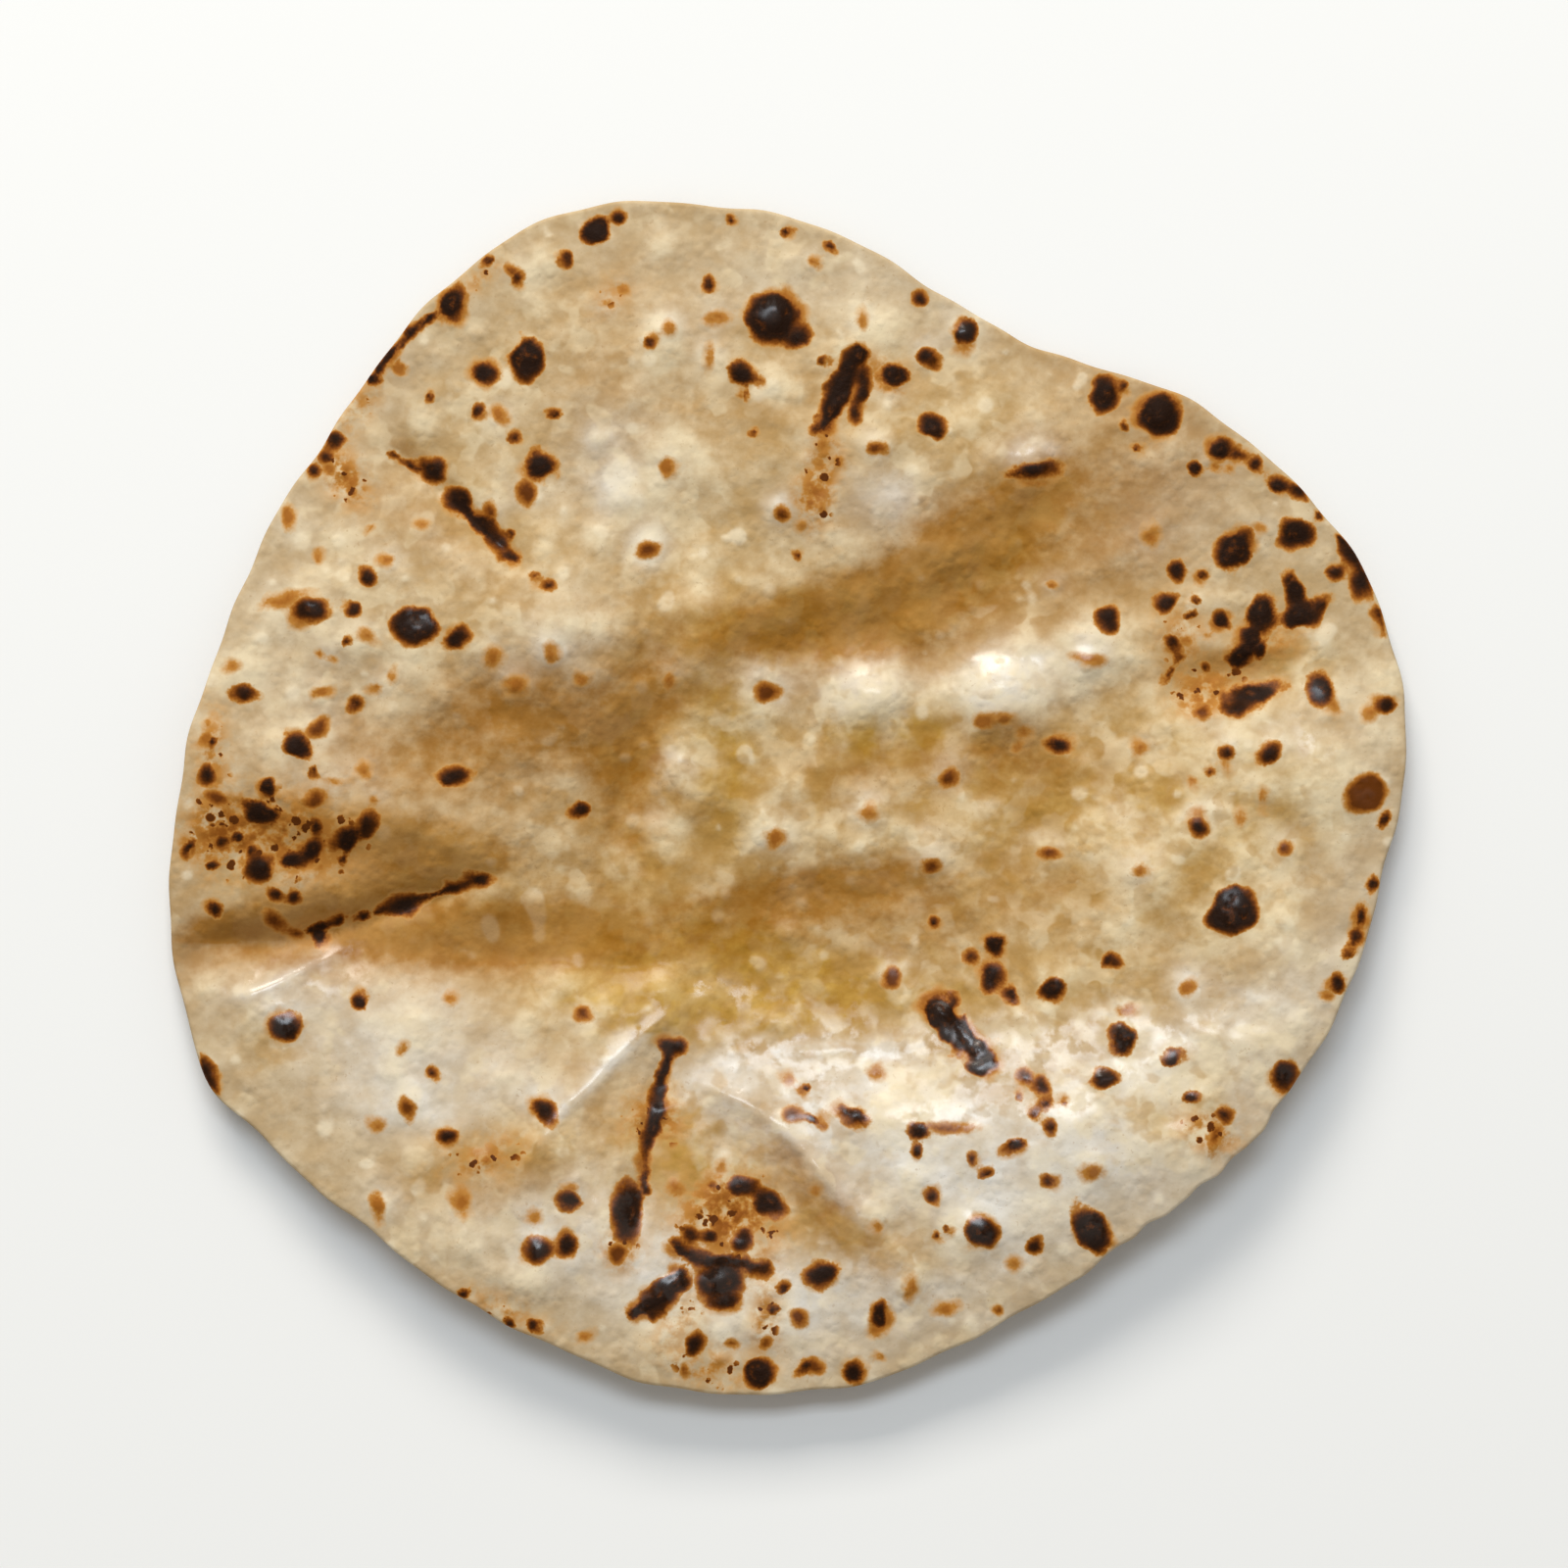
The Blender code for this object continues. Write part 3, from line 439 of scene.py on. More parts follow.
def path_distance(x, y, path):
    """Distance to a path and the share of its length at the nearest point."""
    lengths = np.hypot(*np.diff(path, axis=0).T)
    run = np.concatenate(([0.0], np.cumsum(lengths))) / lengths.sum()
    nearest = np.full(x.shape, 1.0e9)
    share = np.zeros(x.shape)
    for k in range(len(path) - 1):
        ax, ay = path[k]
        ux, uy = path[k + 1] - path[k]
        t = np.clip(((x - ax) * ux + (y - ay) * uy) / (ux * ux + uy * uy), 0.0, 1.0)
        away = np.hypot(x - ax - t * ux, y - ay - t * uy)
        closer = away < nearest
        nearest = np.where(closer, away, nearest)
        share = np.where(closer, run[k] + t * (run[k + 1] - run[k]), share)
    return nearest, share


def grain(x, y, cell, seed):
    """Smooth random field between -1 and 1: random values on a lattice of the given cell,
    blended inside each cell by 6s^5 - 15s^4 + 10s^3."""
    table = np.random.default_rng(seed).uniform(-1.0, 1.0, (512, 512))
    gx, gy = x / cell + 256.0, y / cell + 256.0
    ix, iy = np.floor(gx).astype(int), np.floor(gy).astype(int)
    fx, fy = gx - ix, gy - iy
    fx = fx ** 3 * (fx * (fx * 6.0 - 15.0) + 10.0)
    fy = fy ** 3 * (fy * (fy * 6.0 - 15.0) + 10.0)
    ix, iy = np.mod(ix, 511), np.mod(iy, 511)
    low = table[ix, iy] * (1.0 - fx) + table[ix + 1, iy] * fx
    high = table[ix, iy + 1] * (1.0 - fx) + table[ix + 1, iy + 1] * fx
    return low * (1.0 - fy) + high * fy


# ---- the form ------------------------------------------------------------------
def rim_radius(bearing):
    """Mean radius plus the lobes, plus a small waver of three sines and a ragged stretch."""
    turn = np.radians(bearing)
    waver = 0.22 * np.sin(17.0 * turn + 0.6) + 0.16 * np.sin(31.0 * turn + 2.1)
    waver = waver + 0.10 * np.sin(53.0 * turn + 4.0)
    ragged = ease(300.0, 308.0, bearing) * ease(-332.0, -322.0, -bearing)
    rough = 0.30 * np.sin(61.0 * turn + 1.0) + 0.12 * np.sin(103.0 * turn)
    return MEAN_RADIUS + lobes(bearing, RIM_LOBES) + waver + ragged * rough


def folds(x, y, rows):
    """Sum over the rows of rise * exp(1 - sqrt(1 + (1.6 d / half width)^2)), d being the
    distance to the fold, fading out at its two ends."""
    total = np.zeros_like(x)
    for points, half_width, rise in rows:
        away, share = path_distance(x, y, smooth_path(points))
        crest = np.exp(1.0 - np.sqrt(1.0 + (1.6 * away / half_width) ** 2))
        total += rise * crest * ease(0.0, 0.25, share) * ease(0.0, 0.3, 1.0 - share)
    return total


def lie_of_sheet(x, y):
    """Height of the underside: base height, plus curl of the rim times its ease, plus
    swells and folds, with a parabola-shaped knee where it would sink under the table."""
    bearing = np.mod(np.degrees(np.arctan2(y, x)), 360.0)
    reach = np.hypot(x, y) / rim_radius(bearing)
    curl = RIM_LIFT + lobes(bearing, RIM_CURL)
    height = LIE_HEIGHT + curl * ease(LIFT_START, LIFT_END, reach) + bells(x, y, SWELLS)
    height = height + folds(x, y, FOLDS)
    knee = (height + FLOOR_SOFTNESS) ** 2 / (4.0 * FLOOR_SOFTNESS)
    sunk = np.where(height > -FLOOR_SOFTNESS, knee, 0.0)
    return np.where(height > FLOOR_SOFTNESS, height, sunk)


def domes(x, y, rows):
    """Sum over the rows of exp(-(2 r / diameter)^2)."""
    total = np.zeros_like(x)
    for cx, cy, across in rows:
        total += np.exp(-((x - cx) ** 2 + (y - cy) ** 2) / (0.5 * across) ** 2)
    return total


def puffs(x, y, seed, count, smallest, largest, tallest):
    """Scattered bubbles of steam: each adds tallest * size share * exp(-(r / radius)^2 * 1.4)."""
    rng = np.random.default_rng(seed)
    bearing = rng.uniform(0.0, 2.0 * math.pi, count)
    out = PUFF_REACH * np.sqrt(rng.uniform(0.0, 1.0, count))
    size = smallest + (largest - smallest) * rng.uniform(0.0, 1.0, count) ** 1.8
    squash = rng.uniform(0.7, 1.3, count)
    total = np.zeros_like(x)
    for cx, cy, radius, flat in zip(out * np.cos(bearing), out * np.sin(bearing), size, squash):
        near = (np.abs(x - cx) < 2.6 * radius) & (np.abs(y - cy) < 2.6 * radius)
        dx, dy = (x[near] - cx) / radius, (y[near] - cy) / (radius * flat)
        total[near] += tallest * (radius / largest) * np.exp(-1.4 * (dx * dx + dy * dy))
    return total


def skin_relief(x, y):
    """Fine relief of the griddled skin: puffs of four sizes and three grains of buckling."""
    broad = puffs(x, y, *BROAD_PUFFS)
    coarse = puffs(x, y, *COARSE_PUFFS)
    fine = puffs(x, y, *FINE_PUFFS)
    buckle = 0.17 * grain(x, y, 7.0, 21) + 0.11 * grain(x, y, 3.4, 22) + 0.03 * grain(x, y, 1.7, 23)
    pimples = puffs(x, y, *PIMPLES, PIMPLE_HEIGHT)
    return broad + coarse + fine + buckle + pimples - 0.2


def blister_relief(x, y):
    """Named blisters and a small one under each toasted or browned spot longer than 1.9 mm:
    rise * exp(-(r / radius)^2 * 1.1) each."""
    total = np.zeros_like(x)
    tips = [(row[0], row[1], row[2] + 1.6, 0.22) for row in TOASTED + BROWNED if row[2] > 1.9]
    for cx, cy, across, rise in PALE_BLISTERS + tuple(tips):
        away = np.hypot(x - cx, y - cy) / (0.5 * across)
        total += rise * np.exp(-1.1 * away ** 2)
    return total


def dough_thickness(reach):
    """Thickness from the middle to the rim, eased from one to the other."""
    return CENTRE_THICKNESS + (RIM_THICKNESS - CENTRE_THICKNESS) * ease(THINNING_START, 1.0, reach)


# ---- marks as fields: depth inside a mark, millimetres, negative outside --------
def deepest(depths, new, blend=0.35):
    """Smooth greater-of-two: blend * log(exp(a / blend) + exp(b / blend))."""
    return blend * np.logaddexp(depths / blend, new / blend)


def oval_depth(x, y, rows):
    """Depth inside the nearest turned oval: (1 - reach) * half width."""
    depth = np.full(x.shape, FAR_OUTSIDE)
    for cx, cy, length, width, bearing in rows:
        near = (np.abs(x - cx) < 8.0 + length) & (np.abs(y - cy) < 8.0 + length)
        reach = oval_reach(x[near], y[near], cx, cy, 0.5 * length, 0.5 * width, bearing)
        depth[near] = deepest(depth[near], np.maximum((1.0 - reach) * 0.5 * width, FAR_OUTSIDE))
    return depth


def ragged_place(x, y, seed):
    """Places pushed about by two grains, so that what is drawn there has a torn outline."""
    east = 0.45 * grain(x, y, 2.6, seed) + 0.18 * grain(x, y, 1.3, seed + 1)
    north = 0.45 * grain(x, y, 2.6, seed + 2) + 0.18 * grain(x, y, 1.3, seed + 3)
    return x + east, y + north


def bounded(depth):
    """A depth field kept within the bounds that a mark needs."""
    return np.clip(depth, -DEPTH_LIMIT, DEPTH_LIMIT)


def charred_ovals():
    """Rows of all the charred spots, round and long."""
    return [(cx, cy, d, d, 0.0) for cx, cy, d in CHARRED_ROUND] + list(CHARRED_LONG)


def add_streaks(depth, x, y, half_width):
    """Joins each charred streak to a depth field; half_width(width, share of its length)
    says how far it reaches to either side."""
    for points, width in CHARRED_STREAKS:
        away, share = path_distance(x, y, smooth_path(points, 5))
        half = half_width(width, share)
        depth = deepest(depth, np.maximum(half - away, FAR_OUTSIDE), 0.2)
    return depth


def char_depth(x, y):
    """Depth inside the nearest charred spot or streak.  A streak tapers to its ends and its
    width comes and goes with a grain along it."""
    wx, wy = ragged_place(x, y, 41)
    uneven = 1.0 + 0.45 * grain(x, y, 1.7, 45)

    def half_width(width, share):
        ends = ease(-0.25, 0.12, share) * ease(-0.25, 0.12, 1.0 - share)
        return 0.5 * width * uneven * ends

    return bounded(add_streaks(oval_depth(wx, wy, charred_ovals()), wx, wy, half_width))


def halo_depth(x, y):
    """Depth inside the toasted surround of each charred spot and streak: an oval wider than
    the mark by its own amount and set off to a side of its own."""
    rng = np.random.default_rng(51)
    rows = []
    for cx, cy, length, width, bearing in charred_ovals():
        more = rng.uniform(-0.7, 1.0) * min(1.0, 0.3 + width / 4.0)
        side = rng.uniform(0.0, 2.0 * math.pi)
        off = 0.45 * more
        rows.append((cx + off * math.cos(side), cy + off * math.sin(side),
                     length + more, width + more, bearing))
    wx, wy = ragged_place(x, y, 52)
    uneven = 0.6 * grain(x, y, 2.6, 56)
    return add_streaks(oval_depth(wx, wy, rows), wx, wy,
                       lambda width, share: 0.5 * width + 0.1 + uneven)


def scattered_ovals(seed, count, smallest, largest, inner, outer):
    """Seeded ovals over the round, most of them small."""
    rng = np.random.default_rng(seed)
    bearing = rng.uniform(0.0, 2.0 * math.pi, count)
    out = np.sqrt(rng.uniform(inner ** 2, outer ** 2, count))
    length = smallest + (largest - smallest) * rng.uniform(0.0, 1.0, count) ** 2.2
    width = length * rng.uniform(0.6, 1.0, count)
    turn = rng.uniform(0.0, 180.0, count)
    return list(zip(out * np.cos(bearing), out * np.sin(bearing), length, width, turn))


# ---- the mesh ------------------------------------------------------------------
def square_to_round(a, b):
    """A square of side 2 onto the unit round, ring by ring: a point on the square ring r
    goes to radius r, turned by a quarter of pi times its share along the ring's side."""
    flat = np.abs(a) >= np.abs(b)
    ring = np.where(flat, a, b)
    safe = np.where(ring == 0.0, 1.0, ring)
    turn = np.where(flat, (math.pi / 4.0) * b / safe, math.pi / 2.0 - (math.pi / 4.0) * a / safe)
    return ring * np.cos(turn), ring * np.sin(turn)


def plan_grid(cells):
    """Plan places of a (cells + 1)^2 grid, its rim drawn in by the rounding of the edge.
    Returns x, y and the reach (1 on the rim)."""
    side = np.linspace(-1.0, 1.0, cells + 1)
    a, b = np.meshgrid(side, side, indexing="ij")
    u, v = square_to_round(a.ravel(), b.ravel())
    bearing = np.mod(np.degrees(np.arctan2(v, u)), 360.0)
    radius = rim_radius(bearing) - EDGE_ROUND
    return u * radius, v * radius, np.hypot(u, v)


def rim_walk(cells):
    """Indices of the grid's border points, anticlockwise from the corner (-1, -1)."""
    n = cells + 1
    along = np.arange(cells)
    bottom = along * n
    right = cells * n + along
    top = (cells - along) * n + cells
    left = cells - along
    return np.concatenate((bottom, right, top, left))


def grid_triangles(cells, upward):
    """Two triangles a cell, each cell cut along the diagonal that points to the middle."""
    n = cells + 1
    i, j = np.meshgrid(np.arange(cells), np.arange(cells), indexing="ij")
    i, j = i.ravel(), j.ravel()
    p, q, r, s = i * n + j, (i + 1) * n + j, (i + 1) * n + j + 1, i * n + j + 1
    rising = (i < cells // 2) == (j < cells // 2)
    first = np.where(rising[:, None], np.stack((p, q, r), 1), np.stack((p, q, s), 1))
    second = np.where(rising[:, None], np.stack((p, r, s), 1), np.stack((q, r, s), 1))
    faces = np.concatenate((first, second))
    return faces if upward else faces[:, ::-1]


def ring_strip(low, high):
    """Triangles between two closed rings of equal count, facing outwards."""
    low_next, high_next = np.roll(low, -1), np.roll(high, -1)
    return np.concatenate((np.stack((low, low_next, high_next), 1),
                           np.stack((low, high_next, high), 1)))


def halving_strip(coarse, fine):
    """Triangles from a ring up to one with twice as many points, facing outwards."""
    coarse_next = np.roll(coarse, -1)
    f0, f1, f2 = fine[0::2], fine[1::2], np.roll(fine[0::2], -1)
    return np.concatenate((np.stack((coarse, f1, f0), 1), np.stack((coarse, coarse_next, f1), 1),
                           np.stack((coarse_next, f2, f1), 1)))


def skin_points():
    """All points of the bread and its triangles.

    Upper face: lie of the sheet + thickness + skin relief.  Edge: half rounds from the
    upper to the lower face.  Lower face: lie of the sheet + a little relief upwards."""
    x, y, reach = plan_grid(TOP_CELLS)
    lie = lie_of_sheet(x, y)
    fade = ease(0.0, 0.035, 1.0 - reach)
    filled = 1.0 - 0.55 * ease(0.2, 0.9, bells(x, y, WET))
    skin = (skin_relief(x, y) * filled + folds(x, y, CREASES)) * (0.25 + 0.75 * fade)
    blister = blister_relief(x, y) * fade
    char = char_depth(x, y)
    seared = (CHAR_RISE[0] * ease(-0.6, 1.0, char) + CHAR_RISE[1] * ease(0.6, 3.0, char)) * fade
    top_z = lie + dough_thickness(reach) + (skin + blister + seared)

    ux, uy, under_reach = plan_grid(UNDER_CELLS)
    under_lie = lie_of_sheet(ux, uy)
    dimple = 0.5 * np.maximum(skin_relief(ux + UNDER_OFFSET, uy) - 0.1, 0.0)
    dimple = dimple * ease(0.0, 0.05, 1.0 - under_reach)
    under_z = under_lie + np.where(under_lie > 0.02, dimple, 0.25 * dimple)

    walk, under_walk = rim_walk(TOP_CELLS), rim_walk(UNDER_CELLS)
    ex, ey = x[walk], y[walk]
    out = np.hypot(ex, ey)
    upper, lower = top_z[walk], lie_of_sheet(ex, ey)
    ring_x, ring_y, ring_z = [], [], []
    for angle in RIM_RINGS:
        turn = math.radians(angle)
        wide = (out + EDGE_ROUND * math.cos(turn)) / out
        ring_x.append(ex * wide)
        ring_y.append(ey * wide)
        ring_z.append(0.5 * (upper + lower) + 0.5 * (upper - lower) * math.sin(turn))
    count, ring_count = len(x), len(walk)
    starts = [count + k * ring_count for k in range(len(RIM_RINGS))]
    rings = [walk] + [np.arange(s, s + ring_count) for s in starts]
    under_start = count + len(RIM_RINGS) * ring_count

    px = np.concatenate([x] + ring_x + [ux])
    py = np.concatenate([y] + ring_y + [uy])
    pz = np.concatenate([top_z] + ring_z + [under_z])
    upper_side = [grid_triangles(TOP_CELLS, True)]
    lower_side = [grid_triangles(UNDER_CELLS, False) + under_start]
    middle = RIM_RINGS.index(0.0) + 1
    for k in range(len(rings) - 1):
        strip = ring_strip(rings[k + 1], rings[k])
        (upper_side if k < middle else lower_side).append(strip)
    lower_side.append(halving_strip(under_walk + under_start, rings[-1]))
    upper_faces, lower_faces = np.concatenate(upper_side), np.concatenate(lower_side)
    places = {"top": (x, y, reach, lie, char), "under": (ux, uy), "walk": walk}
    return np.stack((px, py, pz), 1), upper_faces, lower_faces, places


def upper_fields(x, y, reach, lie, char):
    """Named fields of the upper face: depth in char, brown and toast, haze, grease, ochre stains with
    painted shade, creamy patches with painted highlights,
    wet, flour, crest (pale bumps, partly painted light on their tops), pimple and sag (low places,
    darkened as painted shade).  Slopes that rise away from the near side face away from the lamps:
    they are stained ochre and lose their creamy pale, as painted shade.  Each pale blister is milky
    just past its middle, towards the lamps, partly as painted light."""
    small = [row for row in SWELLS if row[5] > 0.0 and row[3] <= 8.0]
    islands = 0.20 * bells(x, y, small) + 1.3 * puffs(x, y, *BROAD_PUFFS)
    islands = islands + 1.2 * puffs(x, y, *COARSE_PUFFS) + 0.22 * grain(x, y, 3.4, 22)
    # How much the sheet rises away from the near side; such slopes face away from the lamps and get
    # painted shade below.
    lee = lie_of_sheet(x, y + STEEP_STEP) - lie_of_sheet(x, y - STEEP_STEP)
    shaded = ease(0.05, 0.30, lee)
    haze = bells(x, y, TOAST_HAZES)
    # Milky tops of the pale blisters, set off towards the lamps: partly the paler dough of a blister,
    # partly painted light on its lit side. The pale rings round toasted spots lean the same way.
    milk_and_lit_side = [(row[0], row[1] + 0.9, 1.2 * row[2]) for row in PALE_BLISTERS]
    tips = [(row[0], row[1] + 0.3, row[2] + 2.2) for row in TOASTED + BROWNED]
    cream_and_highlight = bells(x, y, CREAM_AND_HIGHLIGHTS) + folds(x, y, CREST_HIGHLIGHT_LINES)
    cream_and_highlight = cream_and_highlight + 0.60 * domes(x, y, milk_and_lit_side) + 0.42 * domes(x, y, tips)
    toast = np.maximum(oval_depth(*ragged_place(x, y, 66), TOASTED), halo_depth(x, y))
    return {
        "char_depth": char,
        "brown_depth": bounded(oval_depth(*ragged_place(x, y, 61), BROWNED)),
        "toast_depth": bounded(toast),
        "haze": haze,
        "grease": bells(x, y, GREASE) * ease(0.0, 0.12, 1.0 - reach),
        "stain_and_shade": bells(x, y, OCHRE_STAINS_AND_SHADE) + 0.80 * ease(0.06, 0.36, lee),
        "cream_and_highlight": cream_and_highlight * (1.0 - 0.7 * shaded) * (1.0 - 0.6 * np.minimum(haze, 1.0)),
        "wet": bells(x, y, WET) + 0.8 * folds(x, y, CREST_HIGHLIGHT_LINES) + 0.6 * domes(x, y, GLAZED),
        "flour": bells(x, y, FLOURY) + 0.8 * ease(0.80, 1.0, reach),
        "crest": islands + 1.4 * blister_relief(x, y),
        "pimple": puffs(x, y, *PIMPLES, 1.0),
        "sag": 1.0 - ease(0.2, 2.4, lie),
    }


def under_fields(x, y):
    """The same fields for the lower face, all scattered by seed."""
    return {
        "char_depth": bounded(oval_depth(x, y, scattered_ovals(31, 70, 1.2, 7.0, 10, 86))),
        "brown_depth": bounded(oval_depth(x, y, scattered_ovals(32, 60, 1.4, 6.0, 5, 88))),
        "toast_depth": bounded(oval_depth(x, y, scattered_ovals(33, 120, 1.2, 5.0, 0, 90))),
        "haze": 0.5 * ease(0.1, 0.8, grain(x, y, 22.0, 34)),
        "grease": 0.35 * ease(-0.2, 0.8, grain(x, y, 26.0, 35)),
        "stain_and_shade": 0.5 * ease(0.0, 0.9, grain(x, y, 30.0, 38)),
        "cream_and_highlight": 0.5 * ease(0.0, 0.9, grain(x, y, 24.0, 39)),
        "wet": np.zeros_like(x),
        "flour": 0.5 + 0.4 * grain(x, y, 18.0, 36),
        "crest": 0.5 * grain(x, y, 3.4, 37) + 1.2 * puffs(x + UNDER_OFFSET, y, *BROAD_PUFFS),
        "pimple": puffs(x, y, 15, *PIMPLES[1:], 1.0),
        "sag": np.zeros_like(x),
    }


def spread_fields(places):
    """The named fields on every point.  The edge repeats the rim of the upper face, its marks
    dying away with the distance round the edge."""
    under = under_fields(*places["under"])
    walk = places["walk"]
    rim = np.tile(walk, len(RIM_RINGS))
    round_edge = np.radians(90.0 - np.repeat(RIM_RINGS, len(walk))) * EDGE_ROUND
    joined = {}
    for name, upper in upper_fields(*places["top"]).items():
        edge = upper[rim] - round_edge if name.endswith("_depth") else upper[rim]
        joined[name] = np.concatenate((upper, edge, under[name]))
    return joined


def face_map(points, places):
    """Map of the skin: the upper face fills a large round, the lower a small one beside it.
    Past each rim the map goes on outwards by the length round the edge."""
    plan = points[:, :2] / MAP_REACH
    reach = np.hypot(plan[:, 0], plan[:, 1])
    arc = np.zeros(len(points))
    count, ring_count = len(places["top"][0]), len(places["walk"])
    for k, angle in enumerate(RIM_RINGS):
        start = count + k * ring_count
        arc[start:start + ring_count] = EDGE_ROUND * math.radians(90.0 - angle) / MAP_REACH
    base = np.where(arc > 0.0, reach - EDGE_ROUND / MAP_REACH * 0.5, reach)
    back = np.where(arc > 0.0, EDGE_ROUND * math.pi / MAP_REACH - arc, 0.0)
    safe = np.maximum(reach, 1.0e-6)
    maps = []
    for past_rim, (centre, radius) in ((arc, UPPER_MAP), (back, LOWER_MAP)):
        maps.append(np.array(centre) + radius * (plan * ((base + past_rim) / safe)[:, None]))
    return maps


def build_skin():
    """One closed body of bread with its fields and its map."""
    points, upper_faces, lower_faces, places = skin_points()
    values = spread_fields(places)
    upper_uv, lower_uv = face_map(points, places)
    points = points + np.array((SHIFT[0], SHIFT[1], 0.0))
    faces = np.concatenate((upper_faces, lower_faces)).astype(np.int32)
    mesh = bpy.data.meshes.new("chapati_skin")
    mesh.vertices.add(len(points))
    mesh.vertices.foreach_set("co", (points * MM).astype(np.float32).ravel())
    mesh.loops.add(faces.size)
    mesh.loops.foreach_set("vertex_index", faces.ravel())
    mesh.polygons.add(len(faces))
    mesh.polygons.foreach_set("loop_start", np.arange(0, faces.size, 3, dtype=np.int32))
    mesh.update(calc_edges=True)
    mesh.validate()
    mesh.polygons.foreach_set("use_smooth", np.ones(len(faces), dtype=bool))
    for name, value in values.items():
        layer = mesh.attributes.new(name, "FLOAT", "POINT")
        layer.data.foreach_set("value", value.astype(np.float32))
    uv = np.concatenate((upper_uv[upper_faces.ravel()], lower_uv[lower_faces.ravel()]))
    layer = mesh.uv_layers.new(name="OFBake")
    layer.data.foreach_set("uv", uv.astype(np.float32).ravel())
    mesh.update()
    skin = bpy.data.objects.new("chapati_skin", mesh)
    bpy.context.scene.collection.objects.link(skin)
    return skin


# ---- finishes ------------------------------------------------------------------
# The dough's fields, by the names of its group's inputs; on the skin they are in lower case.
DOUGH_INPUTS = ("Crest", "Pimple", "Grease", "Stain_and_shade", "Cream_and_highlight", "Flour", "Sag", "Haze")


def tint(red, green, blue):
    """Display colour, 0 to 255, as a linear one."""
    shares = [v / 255.0 for v in (red, green, blue)]
    linear = [s / 12.92 if s <= 0.04045 else ((s + 0.055) / 1.055) ** 2.4 for s in shares]
    return (*linear, 1.0)


class Nodes:
    """Small helper that adds and links the nodes of one tree."""

    def __init__(self, tree):
        self.tree = tree

    def add(self, kind, **settings):
        node = self.tree.nodes.new(kind)
        for name, value in settings.items():
            setattr(node, name, value)
        return node

    def link(self, source, target):
        self.tree.links.new(source, target)

    def feed(self, socket, value):
        if isinstance(value, bpy.types.NodeSocket):
            self.link(value, socket)
        else:
            socket.default_value = value

    def fill(self, node, values):
        """Feeds a node's inputs by name."""
        for name, value in values.items():
            self.feed(node.inputs[name], value)
        return node

    def reckon(self, operation, values, clamp=False):
        """One sum on numbers; the named kinds of it follow."""
        node = self.add("ShaderNodeMath", operation=operation, use_clamp=clamp)
        for socket, value in zip(node.inputs, values):
            self.feed(socket, value)
        return node.outputs[0]

    def plus(self, a, b):
        return self.reckon("ADD", (a, b))

    def less(self, a, b):
        return self.reckon("SUBTRACT", (a, b))

    def times(self, a, b, clamp=False):
        return self.reckon("MULTIPLY", (a, b), clamp)

    def times_plus(self, a, b, c):
        return self.reckon("MULTIPLY_ADD", (a, b, c))

    def greater(self, a, b):
        return self.reckon("MAXIMUM", (a, b))

    def span(self, value, low, high, to_low=0.0, to_high=1.0, smooth=True):
        kind = "SMOOTHSTEP" if smooth else "LINEAR"
        node = self.fill(self.add("ShaderNodeMapRange", interpolation_type=kind), {
            "Value": value, "From Min": low, "From Max": high, "To Min": to_low, "To Max": to_high})
        return node.outputs["Result"]

    def mix(self, share, first, second):
        node = self.add("ShaderNodeMix", data_type="RGBA")
        for index, value in ((0, share), (6, first), (7, second)):
            self.feed(node.inputs[index], value)
        return node.outputs[2]

    def noise(self, place, scale, detail=3.0, roughness=0.55, distortion=0.0):
        node = self.fill(self.add("ShaderNodeTexNoise"), {
            "Vector": place, "Scale": scale, "Detail": detail, "Roughness": roughness,
            "Distortion": distortion})
        return node.outputs["Fac"]

    def ramp(self, share, stops):
        node = self.add("ShaderNodeValToRGB")
        self.link(share, node.inputs["Fac"])
        band = node.color_ramp
        while len(band.elements) < len(stops):
            band.elements.new(0.5)
        for element, (position, colour) in zip(band.elements, stops):
            element.position = position
            element.color = colour
        return node.outputs["Color"]

    def field(self, name):
        return self.add("ShaderNodeAttribute", attribute_name=name).outputs["Fac"]

    def place(self):
        return self.add("ShaderNodeTexCoord").outputs["Object"]


def new_group(name, inputs, outputs):
    """An empty shader group with number inputs and the given outputs, by name; its helper,
    its inputs in order and the node that its outputs feed."""
    tree = bpy.data.node_groups.new(name, "ShaderNodeTree")
    for label in inputs:
        tree.interface.new_socket(label, in_out="INPUT", socket_type="NodeSocketFloat")
    for label, kind in outputs:
        tree.interface.new_socket(label, in_out="OUTPUT", socket_type="NodeSocket" + kind)
    n = Nodes(tree)
    given, made = n.add("NodeGroupInput"), n.add("NodeGroupOutput")
    return tree, n, [given.outputs[label] for label in inputs], made


def searing_group():
    """How far one kind of mark has cooked the skin: its depth field, made ragged, runs from
    nothing outside the mark to the peak that this kind reaches."""
    tree, n, (depth, ragged, outside, inside, peak), made = new_group(
        "searing", ("Depth", "Ragged", "Outside", "Inside", "Peak"), (("Heat", "Float"),))
    place = n.place()
    coarse = n.less(n.noise(place, 620.0, 2.0), 0.5)
    fine = n.less(n.noise(place, 1900.0, 3.0), 0.5)
    rough = n.plus(n.times(coarse, 1.9), n.times(fine, 1.3))
    depth = n.times_plus(rough, ragged, depth)
    heat = n.span(depth, outside, inside, smooth=False)
    n.link(n.times(heat, peak), made.inputs["Heat"])
    return tree


